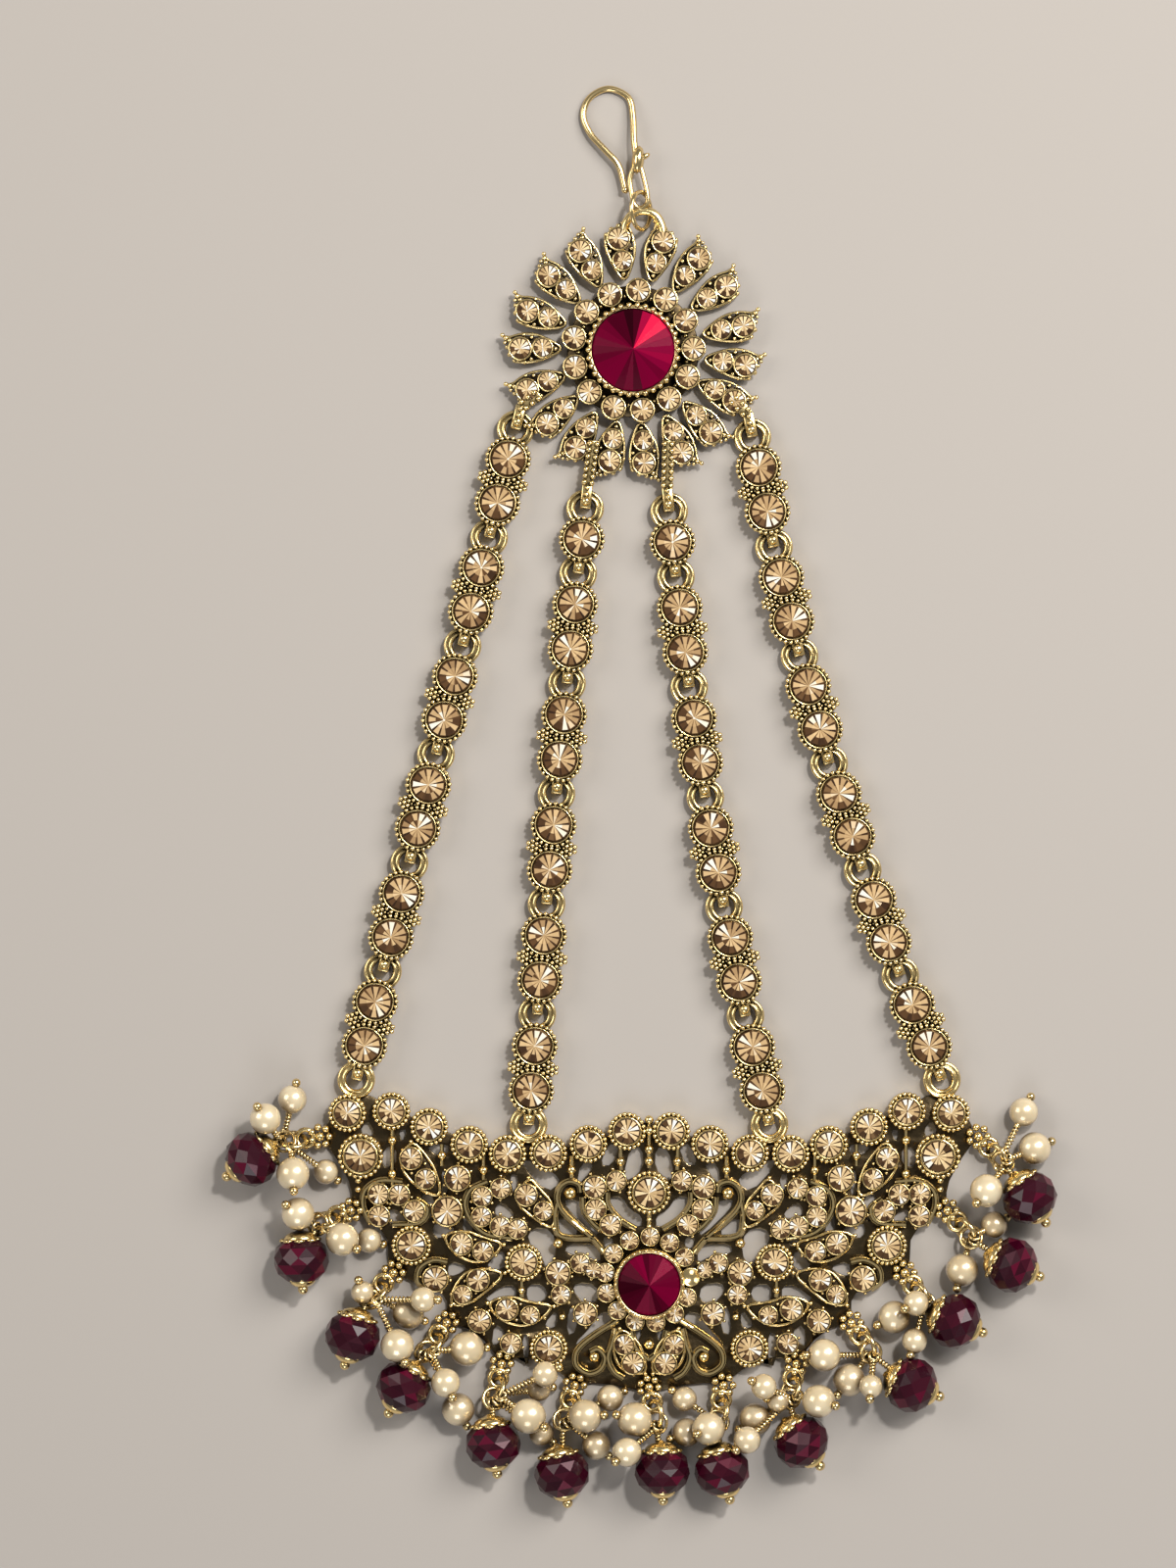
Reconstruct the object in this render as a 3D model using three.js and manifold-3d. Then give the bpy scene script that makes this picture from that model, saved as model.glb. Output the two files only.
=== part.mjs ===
// A jhoomar: a hair hook, a petalled rosette, four strands of stone-set links
// and a pierced crescent plate fringed with pearls and ruby-red beads.
// Millimetres, +Z up. The jewel lies on its flat backs with the hook towards +Y.

import * as THREE from 'three';
import { mergeVertices } from 'three/addons/utils/BufferGeometryUtils.js';
import Module from 'manifold-3d';

// Overall layout
const plateSpan = 77;            // width across the crescent plate's collets
const rosetteSpan = 29;          // rosette across its petal tips
const rosetteRise = 104.7;       // plate ruby to rosette ruby, along the strands
const rosetteShift = -1.8;       // rosette ruby from the plate's middle line
const clearance = 0.3;           // gap between pieces that touch

// Links of the strands
const linkColletRadius = 2.8;    // setting of a link's stone, to its corners
const linkColletHeight = 2.3;
const linkStoneSpacing = 5.06;   // between the two stones of a link
const linkEyeToStone = 3.52;     // eye ring to the first stone
const linksPerStrand = 6;
const singleLinkShare = 0.59;    // a link with one stone, as a share of one with two
const eyeRadius = 2;             // outer radius of an eye ring
const eyeHoleLength = 1.6;       // along the strand
const eyeHoleWidth = 1.9;
const eyeThickness = 0.6;
const tongueWidth = 1.2;         // closed tongue that holds the next eye
const tongueStrap = 0.45;
const tongueFloor = 0.3;         // lower strap of the tongue

// Stones, as settings and cut faces
const stoneCrown = 0.55;         // height of a cut stone over its setting
const tableShare = 0.55;         // table across, as a share of the stone
const colletRadius = 2;          // collets along the plate's upper edge
const endColletRadius = 2.4;     // collets at the plate's two ends
const colletHeight = 2.2;

// Plate
const plateThickness = 1.2;
const plateEyeNeck = 2.6;        // from an eye ring's middle down onto the plate
const bossRadius = 1.35;         // flower bosses that carry the fringe
const bossSides = 6;
const plateRubyRadius = 3.45;
const plateRubyHeight = 4.3;

// Rosette
const hubThickness = 1.2;
const hubSides = 16;
const petalTop = 1.9;
const rosetteRubyRadius = 4.6;
const rosetteRubyHeight = 4.6;
const rubySides = 12;
const rubyBackShare = 0.8;       // flat back across, as a share of the ruby
const rubyTipShare = 0.12;
const bezelWall = 0.35;
const bezelHeight = 2.9;
const loopRadius = 2.7;          // flat loop at the rosette's top
const loopHoleWidth = 2.6;
const loopHoleLength = 3.6;
const loopFoot = 3.2;              // from the loop's middle back onto the petals
const loopThickness = 0.8;
const loopBottom = 1.1;

// Hook
const hookWire = 0.37;           // radius of the hook's wire
const hookRingRadius = 2.1;
const hookRingWire = 0.26;
const hookRingTilt = 31;         // degrees that the ring leans over
const hookRingLevel = 2.1;       // height of its middle
const hookLumpRadius = 0.95;     // solder lump over the hook's eye
const hookSteps = 12;
const hookEyeSteps = 11;

// Fringe
const beadRadius = 3.1;          // faceted red beads
const beadHalfLength = 2.4;
const beadEndShare = 0.66;
const beadBore = 0.5;
const pinRadius = 0.2;
const pinSides = 3;
const pinSpread = 0.5;           // how far from the ring's far end a pin may be looped
const capRadius = 1.7;
const capDepth = 0.7;
const jumpRingRadius = 1.45;
const jumpRingWire = 0.2;
const jumpRingTilt = 32;         // degrees that a jump ring leans over
const jumpRingRise = 20;         // degrees that it climbs away from the plate
const lugReach = 2.85;           // lug past a boss's middle
const lugWidth = 2.3;
const lugHole = 1.4;
const lugBar = 0.5;
const lugBottom = 1;
const lugThickness = 0.6;

const stoneSides = 8;
const ringSides = 10;
const wireSides = 5;

// The charts count in steps: a 700th of the plate's span from the plate ruby (the plate and
// its fringe), a 264th of the rosette's span from the rosette ruby (the rosette).
const plateStep = plateSpan / 700;
const rosetteStep = rosetteSpan / 264;

// Plate ornaments of the right half, mirrored to the left
const plateCollets = [
  { u: 22.5, v: 155.5 }, { u: 62, v: 142.5 }, { u: 103, v: 133 }, { u: 144.5, v: 132.5 },
  { u: 183.5, v: 142 }, { u: 224.5, v: 160 }, { u: 263, v: 176 }, { u: 308, v: 174 },
  { u: 128, v: 22 }, { u: 102.5, v: -66 }, { u: 242.5, v: 39 },
];
const endCollet = { u: 294.5, v: 130 };
const middleCollet = { u: 0, v: 93 };
const plateOutline = [
  [0, 166], [22, 157], [62, 143], [103, 135], [112, 150], [134, 150], [144, 135], [183, 144], [224, 162],
  [263, 178], [288, 194], [312, 194], [336, 150], [316, 122], [304, 98], [304.5, 74.5], [268, 54], [266, 12],
  [226, -6], [207, -12], [206.5, -40], [176, -50], [150.5, -82], [130, -76], [102, -84], [76, -104],
  [50, -102], [0, -112],
];
const plateGaps = [
  [[7, 138], [19, 138], [25, 108], [6, 116]], [[30, 140], [42, 142], [50, 121], [36, 121]],
  [[58, 122], [71, 122], [75, 98], [62, 108]], [[98, 113], [127, 127], [104, 92], [90, 103]],
  [[138, 74], [156, 78], [157, 68], [138, 63]], [[26, 88], [41, 87], [37, 64], [8, 62]],
  [[67, 82], [87, 86], [84, 74], [50, 46]], [[92, 72], [93, 50], [66, 50]],
  [[50, 30], [57, 39], [84, 40], [84, 30]], [[99, 52], [119, 54], [124, 44], [104, 28]],
  [[142, 48], [172, 53], [172, 46], [146, 38]], [[54, -2], [74, -1], [78, -9], [58, -20]],
  [[40, -32], [52, -33], [74, -58], [60, -56]], [[75, -24], [83, -26], [84, -50], [74, -46]],
  [[108, -3], [123, -3], [122, -18], [106, -14]], [[136, -4], [150, -4], [168, -18], [138, -16]],
  [[194, 54], [217, 61], [214, 46]], [[220, 88], [233, 90], [229, 66], [222, 62]],
  [[258, 138], [271, 138], [272, 119], [259, 121]],
];
const plateBosses = [
  { u: -336, v: 150 }, { u: -304.5, v: 74.5 }, { u: -261, v: 11 }, { u: -206.5, v: -40 },
  { u: -150.5, v: -82 }, { u: -76, v: -104 }, { u: 0, v: -106 }, { u: 76, v: -104 },
  { u: 150.5, v: -82 }, { u: 206.5, v: -40 }, { u: 261, v: 11 }, { u: 304.5, v: 74.5 }, { u: 336, v: 150 },
];

// Rosette petals by their angle, with the tongues' ends and the top loop
const petalAngles = [
  97, 75, 55, 35, 13, -7, -26, -46, -64, -84, -102.5, -121, -140, -160, 178.5, 159, 138, 117.5,
];
const hubReach = 76;
const petalLap = 6;              // from the hub's edge in to a petal's root
const petal = {
  root: hubReach - petalLap, tip: 132,
  flank: [{ reach: 82, width: 9 }, { reach: 100, width: 13.5 }, { reach: 122, width: 12.5 }],
};
const loopCentre = { u: 10.5, v: 119 };

// Strands from left to right: the first eye and the tongue's root from the rosette ruby,
// the eye from the plate ruby, and how far the strand bows as a share of its length
const strands = [
  { eye: { u: -120, v: -80 }, root: { u: -96, v: -44 }, plateEye: { u: -299, v: 208 }, bow: 0 },
  {
    eye: { u: -49, v: -161 }, root: { u: -40, v: -92 }, plateEye: { u: -123, v: 162 }, bow: -0.004,
    single: true,
  },
  {
    eye: { u: 37, v: -164 }, root: { u: 36, v: -92 }, plateEye: { u: 123, v: 162 }, bow: -0.017,
    single: true,
  },
  { eye: { u: 122, v: -88 }, root: { u: 100, v: -48 }, plateEye: { u: 299, v: 208 }, bow: -0.028 },
];

// Solder lump of the hook, and its wire from the lump over the bend to the free end:
// steps from the loop's middle, z in mm
const hookLump = { u: -5.5, v: 76 };
const hookRoute = [
  { u: hookLump.u - 1, v: hookLump.v - 2, z: 1.75 }, { u: -9.5, v: 96, z: 1.4 }, { u: -10.5, v: 121, z: 0.9 },
  { u: -15.5, v: 141, z: 0.5 }, { u: -35.5, v: 150, z: 0.4 }, { u: -54.5, v: 141, z: 0.4 },
  { u: -61.5, v: 123, z: 0.5 }, { u: -54.5, v: 104, z: 0.7 }, { u: -39.5, v: 87, z: 0.9 },
  { u: -25.5, v: 71, z: 1 }, { u: -18.5, v: 46, z: 1 },
];
const hookEye = [
  { u: hookLump.u - 2.5, v: hookLump.v - 3 }, { u: -13, v: 49 }, { u: -10.5, v: 32 }, { u: -3.5, v: 27 },
  { u: 3.5, v: 32 }, { u: 6, v: 49 }, { u: hookLump.u + 6.5, v: hookLump.v - 3 }, hookLump,
];
const hookRingCentre = { u: -2.5, v: 23.5 };

// Fringe from left to right: a bead with the way its lower end points, and its pearls
const fringe = [
  { u: -405, v: 128, axis: 215, pearls: [[-390, 170, 16], [-362, 114, 17]] },
  { u: -354, v: 26, axis: 273, pearls: [[-357, 73, 17], [-312, 47, 17]] },
  { u: -302, v: -52, axis: 255, pearls: [[-246, -30, 17], [-256, -60, 17]] },
  { u: -250, v: -104, axis: 240, pearls: [[-186, -66, 18], [-195, -128, 17]] },
  { u: -159, v: -162, axis: 278, pearls: [[-123, -132, 18]] },
  { u: -89, v: -192, axis: 281, pearls: [[-65, -133, 17]] },
  { u: 13, v: -189, axis: 272, pearls: [[-15, -137, 18]] },
  { u: 74, v: -189, axis: 285, pearls: [[60, -145, 17]] },
  { u: 155, v: -160, axis: 308, pearls: [[108, -138, 17], [172, -117, 17]] },
  { u: 267, v: -102, axis: 338, pearls: [[178, -72, 17], [204, -98, 17]] },
  { u: 311, v: -37, axis: 338, pearls: [[250, -34, 17]] },
  { u: 369, v: 20, axis: 338, pearls: [[319, 14, 17]] },
  { u: 387, v: 89, axis: 303, pearls: [[393, 138, 17], [342, 97, 17]] },
];

const gold = new THREE.MeshStandardMaterial({ color: 0xcdb27a, roughness: 0.32, metalness: 1 });
const brightGold = new THREE.MeshStandardMaterial({ color: 0xd9c48a, roughness: 0.25, metalness: 1 });
const ruby = new THREE.MeshStandardMaterial({ color: 0x4a0818, roughness: 0.08, metalness: 0.1 });
const pearlAndWire = new THREE.MeshStandardMaterial({ color: 0xe8d6b4, roughness: 0.3, metalness: 0.1 });

const wasm = await Module();
wasm.setup();
const { Manifold, Mesh } = wasm;
const degrees = Math.PI / 180;

function solidOf(geometry) {
  geometry.deleteAttribute('normal');
  geometry.deleteAttribute('uv');
  const merged = mergeVertices(geometry, 1e-4);
  const index = merged.index.array;
  const triangles = [];
  for (let i = 0; i < index.length; i += 3) {
    const [a, b, c] = [index[i], index[i + 1], index[i + 2]];
    if (a !== b && b !== c && c !== a) triangles.push(a, b, c);
  }
  const vertProperties = new Float32Array(merged.attributes.position.array);
  return new Manifold(new Mesh({ numProp: 3, vertProperties, triVerts: new Uint32Array(triangles) }));
}

function meshOf(name, solid, material) {
  const { vertProperties, triVerts } = solid.getMesh();
  const geometry = new THREE.BufferGeometry();
  geometry.setAttribute('position', new THREE.BufferAttribute(vertProperties, 3));
  geometry.setIndex(new THREE.BufferAttribute(triVerts, 1));
  geometry.computeVertexNormals();
  const mesh = new THREE.Mesh(geometry, material);
  mesh.name = name;
  return mesh;
}

function fuse(solids) {
  return Manifold.union(solids);
}

function turned(profile, sides, middleTurn = 0.5) {
  const points = profile.map(([radius, height]) => new THREE.Vector2(radius, height));
  const geometry = new THREE.LatheGeometry(points, sides);
  geometry.rotateX(Math.PI / 2);
  geometry.rotateZ((middleTurn * 2 * Math.PI) / sides);
  return solidOf(geometry);
}

function slab(points, bottom, top, holes = []) {
  const shape = new THREE.Shape(points.map(([x, y]) => new THREE.Vector2(x, y)));
  shape.holes = holes.map((hole) => new THREE.Path(hole.map(([x, y]) => new THREE.Vector2(x, y))));
  const geometry = new THREE.ExtrudeGeometry(shape, { depth: top - bottom, bevelEnabled: false, steps: 1 });
  geometry.translate(0, 0, bottom);
  return solidOf(geometry);
}

function circle(x, y, radius, sides, phase = 0.5) {
  return Array.from({ length: sides }, (_, i) => {
    const angle = ((i + phase) * 2 * Math.PI) / sides;
    return [x + radius * Math.cos(angle), y + radius * Math.sin(angle)];
  });
}

function block(x0, x1, y0, y1, bottom, top) {
  return slab([[x0, y0], [x1, y0], [x1, y1], [x0, y1]], bottom, top);
}

// Flat bar between two points of the plan, with a little past each end
function bar([x0, y0], [x1, y1], width, bottom, top) {
  const length = Math.hypot(x1 - x0, y1 - y0);
  const turn = Math.atan2(y1 - y0, x1 - x0) / degrees;
  const flat = block(0, length, -width / 2, width / 2, bottom, top);
  return flat.rotate([0, 0, turn]).translate([x0, y0, 0]);
}

function hull(points) {
  const sorted = [...points].sort((a, b) => a[0] - b[0] || a[1] - b[1]);
  const half = (list) => {
    const chain = [];
    for (const p of list) {
      while (chain.length > 1) {
        const [a, b] = chain.slice(-2);
        if ((b[0] - a[0]) * (p[1] - a[1]) - (b[1] - a[1]) * (p[0] - a[0]) > 1e-6) break;
        chain.pop();
      }
      chain.push(p);
    }
    return chain.slice(0, -1);
  };
  return [...half(sorted), ...half(sorted.reverse())];
}

function rod(start, end, radius, sides) {
  const along = new THREE.Vector3().subVectors(end, start);
  const geometry = new THREE.CylinderGeometry(radius, radius, along.length(), sides);
  geometry.rotateX(Math.PI / 2);
  geometry.translate(0, 0, along.length() / 2);
  const turn = new THREE.Quaternion().setFromUnitVectors(new THREE.Vector3(0, 0, 1), along.normalize());
  geometry.applyQuaternion(turn);
  geometry.translate(start.x, start.y, start.z);
  return solidOf(geometry);
}

// A cut stone in its setting: eight crown facets and a table over straight walls
function collet(x, y, radius, height) {
  const table = radius * tableShare;
  const top = height + stoneCrown;
  const profile = [[0, 0], [radius, 0], [radius, height], [table, top], [0, top]];
  return turned(profile, stoneSides).translate([x, y, 0]);
}

const eyeBottom = tongueFloor + clearance;
const eyeTop = eyeBottom + eyeThickness;
const tongueTop = eyeTop + clearance + tongueStrap;
const tongueBack = eyeRadius + clearance + tongueStrap;

// Flat eye at the origin, open towards -X, whose neck runs to +X
function eyePlate(neck) {
  const arc = circle(0, 0, eyeRadius, ringSides, 0).slice(2, -1);
  const outline = [[neck, -tongueWidth], [neck, tongueWidth], ...arc];
  const [x, y] = [eyeHoleLength / 2, eyeHoleWidth / 2];
  return slab(outline, eyeBottom, eyeTop, [[[-x, -y], [x, -y], [x, y], [-x, y]]]);
}

// Closed tongue along +X that ends inside the next eye's hole, whose middle is at x = 0
function tongue() {
  const half = tongueWidth / 2;
  const frame = block(-tongueBack, 0, -half, half, 0, tongueTop);
  const [inner, outer] = [tongueStrap - tongueBack, -tongueStrap];
  return frame.subtract(block(inner, outer, -tongueWidth, tongueWidth, tongueFloor, eyeTop + clearance));
}

// Room under a setting for the next link's eye ring
function eyeRoom() {
  const reach = eyeRadius + clearance;
  return block(-reach, reach, -reach, reach, -1, eyeTop + clearance);
}

// A link lies along +X from its own eye (x = 0) to the next eye (x = pitch)
function link(stones, pitch) {
  const settings = Array.from({ length: stones }, (_, i) => (
    collet(linkEyeToStone + i * linkStoneSpacing, 0, linkColletRadius, linkColletHeight)));
  const body = fuse(settings).subtract(eyeRoom().translate([pitch, 0, 0]));
  return fuse([body, eyePlate(linkEyeToStone / 2), tongue().translate([pitch, 0, 0])]);
}

function bowedPoint(start, end, bow, share) {
  const along = new THREE.Vector2().subVectors(end, start);
  const aside = new THREE.Vector2(-along.y, along.x).multiplyScalar(4 * bow * share * (1 - share));
  return start.clone().addScaledVector(along, share).add(aside);
}

function rosettePoint({ u, v }) {
  return new THREE.Vector2(rosetteShift + u * rosetteStep, rosetteRise + v * rosetteStep);
}

function platePoint({ u, v }) {
  return new THREE.Vector2(u * plateStep, v * plateStep);
}

// Eye points of a strand, from the rosette's tongue to the plate's eye
function strandEyes(strand) {
  const start = rosettePoint(strand.eye);
  const end = platePoint(strand.plateEye);
  const firstLink = strand.single ? singleLinkShare : 1;
  const length = firstLink + linksPerStrand - 1;
  const later = Array.from({ length: linksPerStrand }, (_, i) => (
    bowedPoint(start, end, strand.bow, (firstLink + i) / length)));
  return [start, ...later];
}

function strandMeshes(strand, number) {
  const eyes = strandEyes(strand);
  return eyes.slice(0, -1).map((eye, i) => {
    const next = eyes[i + 1];
    const stones = strand.single && i === 0 ? 1 : 2;
    const mesh = meshOf(`strand_${number}_link_${i + 1}`, link(stones, eye.distanceTo(next)), gold);
    mesh.position.set(eye.x, eye.y, 0);
    mesh.rotation.z = Math.atan2(next.y - eye.y, next.x - eye.x);
    return mesh;
  });
}

// Rosette in its own frame, ruby at the origin
function petalSolid(angle) {
  const { root, tip, flank } = petal;
  const right = flank.map(({ reach, width }) => [reach, -width]);
  const left = flank.map(({ reach, width }) => [reach, width]).reverse();
  const outline = [[root, 0], ...right, [tip, 0], ...left];
  return slab(outline.map(([x, y]) => [x * rosetteStep, y * rosetteStep]), 0, petalTop).rotate([0, 0, angle]);
}

function bezel(radius, bottom) {
  const inner = radius + clearance;
  const outer = inner + bezelWall;
  const top = bezelHeight;
  return turned([[inner, bottom], [outer, bottom], [outer, top], [inner, top], [inner, bottom]], rubySides);
}

function rivoli(radius, bottom, height) {
  const girdle = bezelHeight - clearance;
  const back = [radius * rubyBackShare, bottom];
  const tip = [radius * rubyTipShare, height];
  return turned([[0, bottom], back, [radius, girdle], tip, [0, height]], rubySides);
}

// Flat loop that reaches back over the petals, with a hole that is narrower at the top
function topLoop() {
  const [w, l] = [loopHoleWidth / 2, loopHoleLength / 2];
  const feet = [[-loopRadius, -loopFoot], [loopRadius, -loopFoot]];
  const outline = hull([...circle(0, 0, loopRadius, ringSides), ...feet]);
  const hole = [[-w, -l], [w, -l], [w, l / 2], [w / 2, l], [-w / 2, l], [-w, l / 2]];
  const placed = (solid) => solid.translate([loopCentre.u * rosetteStep, loopCentre.v * rosetteStep, 0]);
  const solid = placed(slab(outline, loopBottom, loopBottom + loopThickness));
  return { solid, hole: placed(slab(hole, -1, petalTop + 1)) };
}

// Tongue of the rosette with its bar from a petal, placed for the strand's first link
function rosetteTongue(strand) {
  const [eye, next] = strandEyes(strand);
  const turn = Math.atan2(next.y - eye.y, next.x - eye.x);
  const [x, y] = [strand.eye.u * rosetteStep, strand.eye.v * rosetteStep];
  const barEnd = tongueBack - tongueStrap / 2;
  const end = [x - barEnd * Math.cos(turn), y - barEnd * Math.sin(turn)];
  const root = [strand.root.u * rosetteStep, strand.root.v * rosetteStep];
  const placed = (solid) => solid.rotate([0, 0, turn / degrees]).translate([x, y, 0]);
  const stem = bar(root, end, tongueWidth, 0, tongueTop);
  return { room: placed(eyeRoom()), solid: fuse([stem, placed(tongue())]) };
}

function rosetteSolid() {
  const hub = slab(circle(0, 0, hubReach * rosetteStep, hubSides), 0, hubThickness);
  const ring = bezel(rosetteRubyRadius, hubThickness - clearance);
  const loop = topLoop();
  const tongues = strands.map(rosetteTongue);
  const body = fuse([hub, ring, loop.solid, ...petalAngles.map(petalSolid)]);
  const open = body.subtract(fuse([loop.hole, ...tongues.map(({ room }) => room)]));
  return fuse([open, ...tongues.map(({ solid }) => solid)]);
}

// Plate in its own frame, ruby at the origin
function mirrored({ u, v }) {
  return u === 0 ? [{ u, v }] : [{ u, v }, { u: -u, v }];
}

// Where the boss's lug points: to the upper end of its bead
function bossAngle(i) {
  const toBead = beadTop(fringe[i]).sub(platePoint(plateBosses[i]));
  return Math.atan2(toBead.y, toBead.x);
}

function bossSolid(i) {
  const boss = platePoint(plateBosses[i]);
  const outer = lugReach - lugBar;
  const inner = outer - lugHole;
  const [lug, hole] = [lugWidth / 2, lugHole / 2];
  const outline = hull([...circle(0, 0, bossRadius, bossSides), [lugReach, -lug], [lugReach, lug]]);
  const opening = [[inner, -hole], [outer, -hole], [outer, hole], [inner, hole]];
  const flat = slab(outline, lugBottom, lugBottom + lugThickness, [opening]);
  return flat.rotate([0, 0, bossAngle(i) / degrees]).translate([boss.x, boss.y, 0]);
}

function plateSheet() {
  const placed = (points, side) => points.map(([u, v]) => [side * u * plateStep, v * plateStep]);
  const outline = [...placed(plateOutline, 1), ...placed(plateOutline.slice(1, -1).reverse(), -1)];
  const cut = (gap, side) => slab(placed(gap, side), -1, plateThickness + 1);
  const gaps = plateGaps.flatMap((gap) => [cut(gap, 1), cut(gap, -1)]);
  return slab(outline, 0, plateThickness).subtract(fuse(gaps));
}

function plateSolid() {
  const place = (solid, { u, v }) => solid.translate([u * plateStep, v * plateStep, 0]);
  const small = plateCollets.flatMap(mirrored)
    .map((one) => place(collet(0, 0, colletRadius, colletHeight), one));
  const large = [...mirrored(endCollet), middleCollet]
    .map((one) => place(collet(0, 0, endColletRadius, colletHeight), one));
  const eyes = strands.map(({ plateEye }) => place(eyePlate(plateEyeNeck).rotate([0, 0, -90]), plateEye));
  const bosses = plateBosses.map((_, i) => bossSolid(i));
  const ring = bezel(plateRubyRadius, plateThickness - clearance);
  return fuse([plateSheet(), ring, ...small, ...large, ...eyes, ...bosses]);
}

// Fringe
function beadDirection(row) {
  return new THREE.Vector2(Math.cos(row.axis * degrees), Math.sin(row.axis * degrees));
}

function beadTop(row) {
  return platePoint(row).addScaledVector(beadDirection(row), -(beadHalfLength + capDepth));
}

// A solid that is turned about +Z, laid along its bead's axis
function laidAlong(row, solid) {
  const middle = platePoint(row);
  return solid.rotate([0, 90, row.axis]).translate([middle.x, middle.y, beadRadius]);
}

function beadSolid(row) {
  const end = beadRadius * beadEndShare;
  const reach = beadHalfLength;
  const profile = [[0, -reach], [end, -reach], [beadRadius, 0], [end, reach], [0, reach]];
  const bore = block(-beadBore, beadBore, -beadBore, beadBore, -beadRadius, beadRadius);
  return laidAlong(row, turned(profile, ringSides).subtract(bore));
}

function ball(radius, { x, y, z }) {
  const geometry = new THREE.SphereGeometry(radius, ringSides, 3);
  geometry.rotateX(Math.PI / 2);
  geometry.translate(x, y, z);
  return solidOf(geometry);
}

// Posts that a pearl rests on: the plate's settings and bosses
function posts() {
  const settings = [...plateCollets, endCollet].flatMap(mirrored)
    .map((one) => ({ at: platePoint(one), top: colletHeight, radius: endColletRadius }));
  const lugs = plateBosses.flatMap((one, i) => [0, lugReach - bossRadius].map((reach) => {
    const out = new THREE.Vector2(reach, 0).rotateAround(new THREE.Vector2(), bossAngle(i));
    return { at: platePoint(one).add(out), top: lugBottom + lugThickness, radius: bossRadius };
  }));
  return [...settings, ...lugs];
}

// Height at which a ball clears another, when their middles are `aside` apart in plan
function heightOver(reach, aside) {
  return aside < reach ? Math.sqrt(reach * reach - aside * aside) : -Infinity;
}

// Each pearl lies as low as the plate, the beads and the pearls before it allow
function placedPearls() {
  const placed = [];
  fringe.forEach((row, cluster) => {
    for (const [u, v, size] of row.pearls) {
      const at = platePoint({ u, v });
      const radius = size * plateStep;
      const reach = radius + clearance;
      const overPosts = posts().map((post) => (
        post.top + heightOver(reach, Math.max(0, at.distanceTo(post.at) - post.radius))));
      const overBeads = fringe.map((bead) => (
        beadRadius + heightOver(reach + beadRadius, at.distanceTo(platePoint(bead)))));
      const overPearls = placed.map((other) => (
        other.at.z + heightOver(reach + other.radius, Math.hypot(at.x - other.at.x, at.y - other.at.y))));
      const z = Math.max(radius, ...overPosts, ...overBeads, ...overPearls);
      placed.push({ at: new THREE.Vector3(at.x, at.y, z), radius, cluster });
    }
  });
  return placed;
}

// A jump ring stands in its lug's hole, climbs away from the plate and leans over
function jumpRing(i) {
  const boss = platePoint(plateBosses[i]);
  const rise = jumpRingRise * degrees;
  const angle = bossAngle(i);
  const reach = lugReach - lugBar - lugHole / 2 + jumpRingRadius * Math.cos(rise);
  const height = lugBottom + lugThickness / 2 + jumpRingRadius * Math.sin(rise);
  const away = new THREE.Vector2(reach, 0).rotateAround(new THREE.Vector2(), angle);
  const middle = new THREE.Vector3(boss.x + away.x, boss.y + away.y, height);
  const turn = new THREE.Euler((90 - jumpRingTilt) * degrees, -rise, angle, 'ZYX');
  const geometry = new THREE.TorusGeometry(jumpRingRadius, jumpRingWire, wireSides, ringSides);
  geometry.applyMatrix4(new THREE.Matrix4().makeRotationFromEuler(turn));
  geometry.translate(middle.x, middle.y, middle.z);
  const along = new THREE.Vector3(1, 0, 0).applyEuler(turn);
  const across = new THREE.Vector3(0, 1, 0).applyEuler(turn);
  return { solid: solidOf(geometry), middle, along, across };
}

function ringPoint({ middle, along, across }, angle) {
  const point = middle.clone().addScaledVector(along, jumpRingRadius * Math.cos(angle));
  return point.addScaledVector(across, jumpRingRadius * Math.sin(angle));
}

// Where a pearl's pin is looped on the jump ring: towards the pearl, on the ring's far half
function pinStart(ring, pearl) {
  const toPearl = new THREE.Vector3().subVectors(pearl, ring.middle);
  const aside = toPearl.dot(ring.across);
  const ahead = Math.max(toPearl.dot(ring.along), Math.abs(aside) * pinSpread);
  return ringPoint(ring, Math.atan2(aside, ahead));
}

// The pin that carries a bead, with a cap at each end of the bead
function beadPin(row) {
  const reach = beadHalfLength + clearance;
  const end = reach + capDepth;
  const cap = [[0, -end], [capRadius, -reach], [pinRadius, -reach]];
  const lowerCap = cap.map(([radius, height]) => [radius, -height]).reverse();
  return laidAlong(row, turned([...cap, ...lowerCap], wireSides));
}

function clusterSolid(i, pearls) {
  const ring = jumpRing(i);
  const top = beadTop(fringe[i]);
  const beadLoop = rod(ringPoint(ring, 0), new THREE.Vector3(top.x, top.y, beadRadius), pinRadius, pinSides);
  const drops = pearls.flatMap(({ at, radius }) => (
    [ball(radius, at), rod(pinStart(ring, at), at, pinRadius, pinSides)]));
  return fuse([ring.solid, beadLoop, beadPin(fringe[i]), ...drops]);
}

// Hook and its ring, in the rosette's frame but charted from the loop's middle
function hookPoint({ u, v }) {
  return [(loopCentre.u + u) * rosetteStep, (loopCentre.v + v) * rosetteStep];
}

function wireSolid(route, radius, steps) {
  const section = new THREE.Shape(circle(0, 0, radius, wireSides).map(([x, y]) => new THREE.Vector2(x, y)));
  const extrudePath = new THREE.CatmullRomCurve3(route, false, 'centripetal');
  return solidOf(new THREE.ExtrudeGeometry(section, { steps, bevelEnabled: false, extrudePath }));
}

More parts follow.
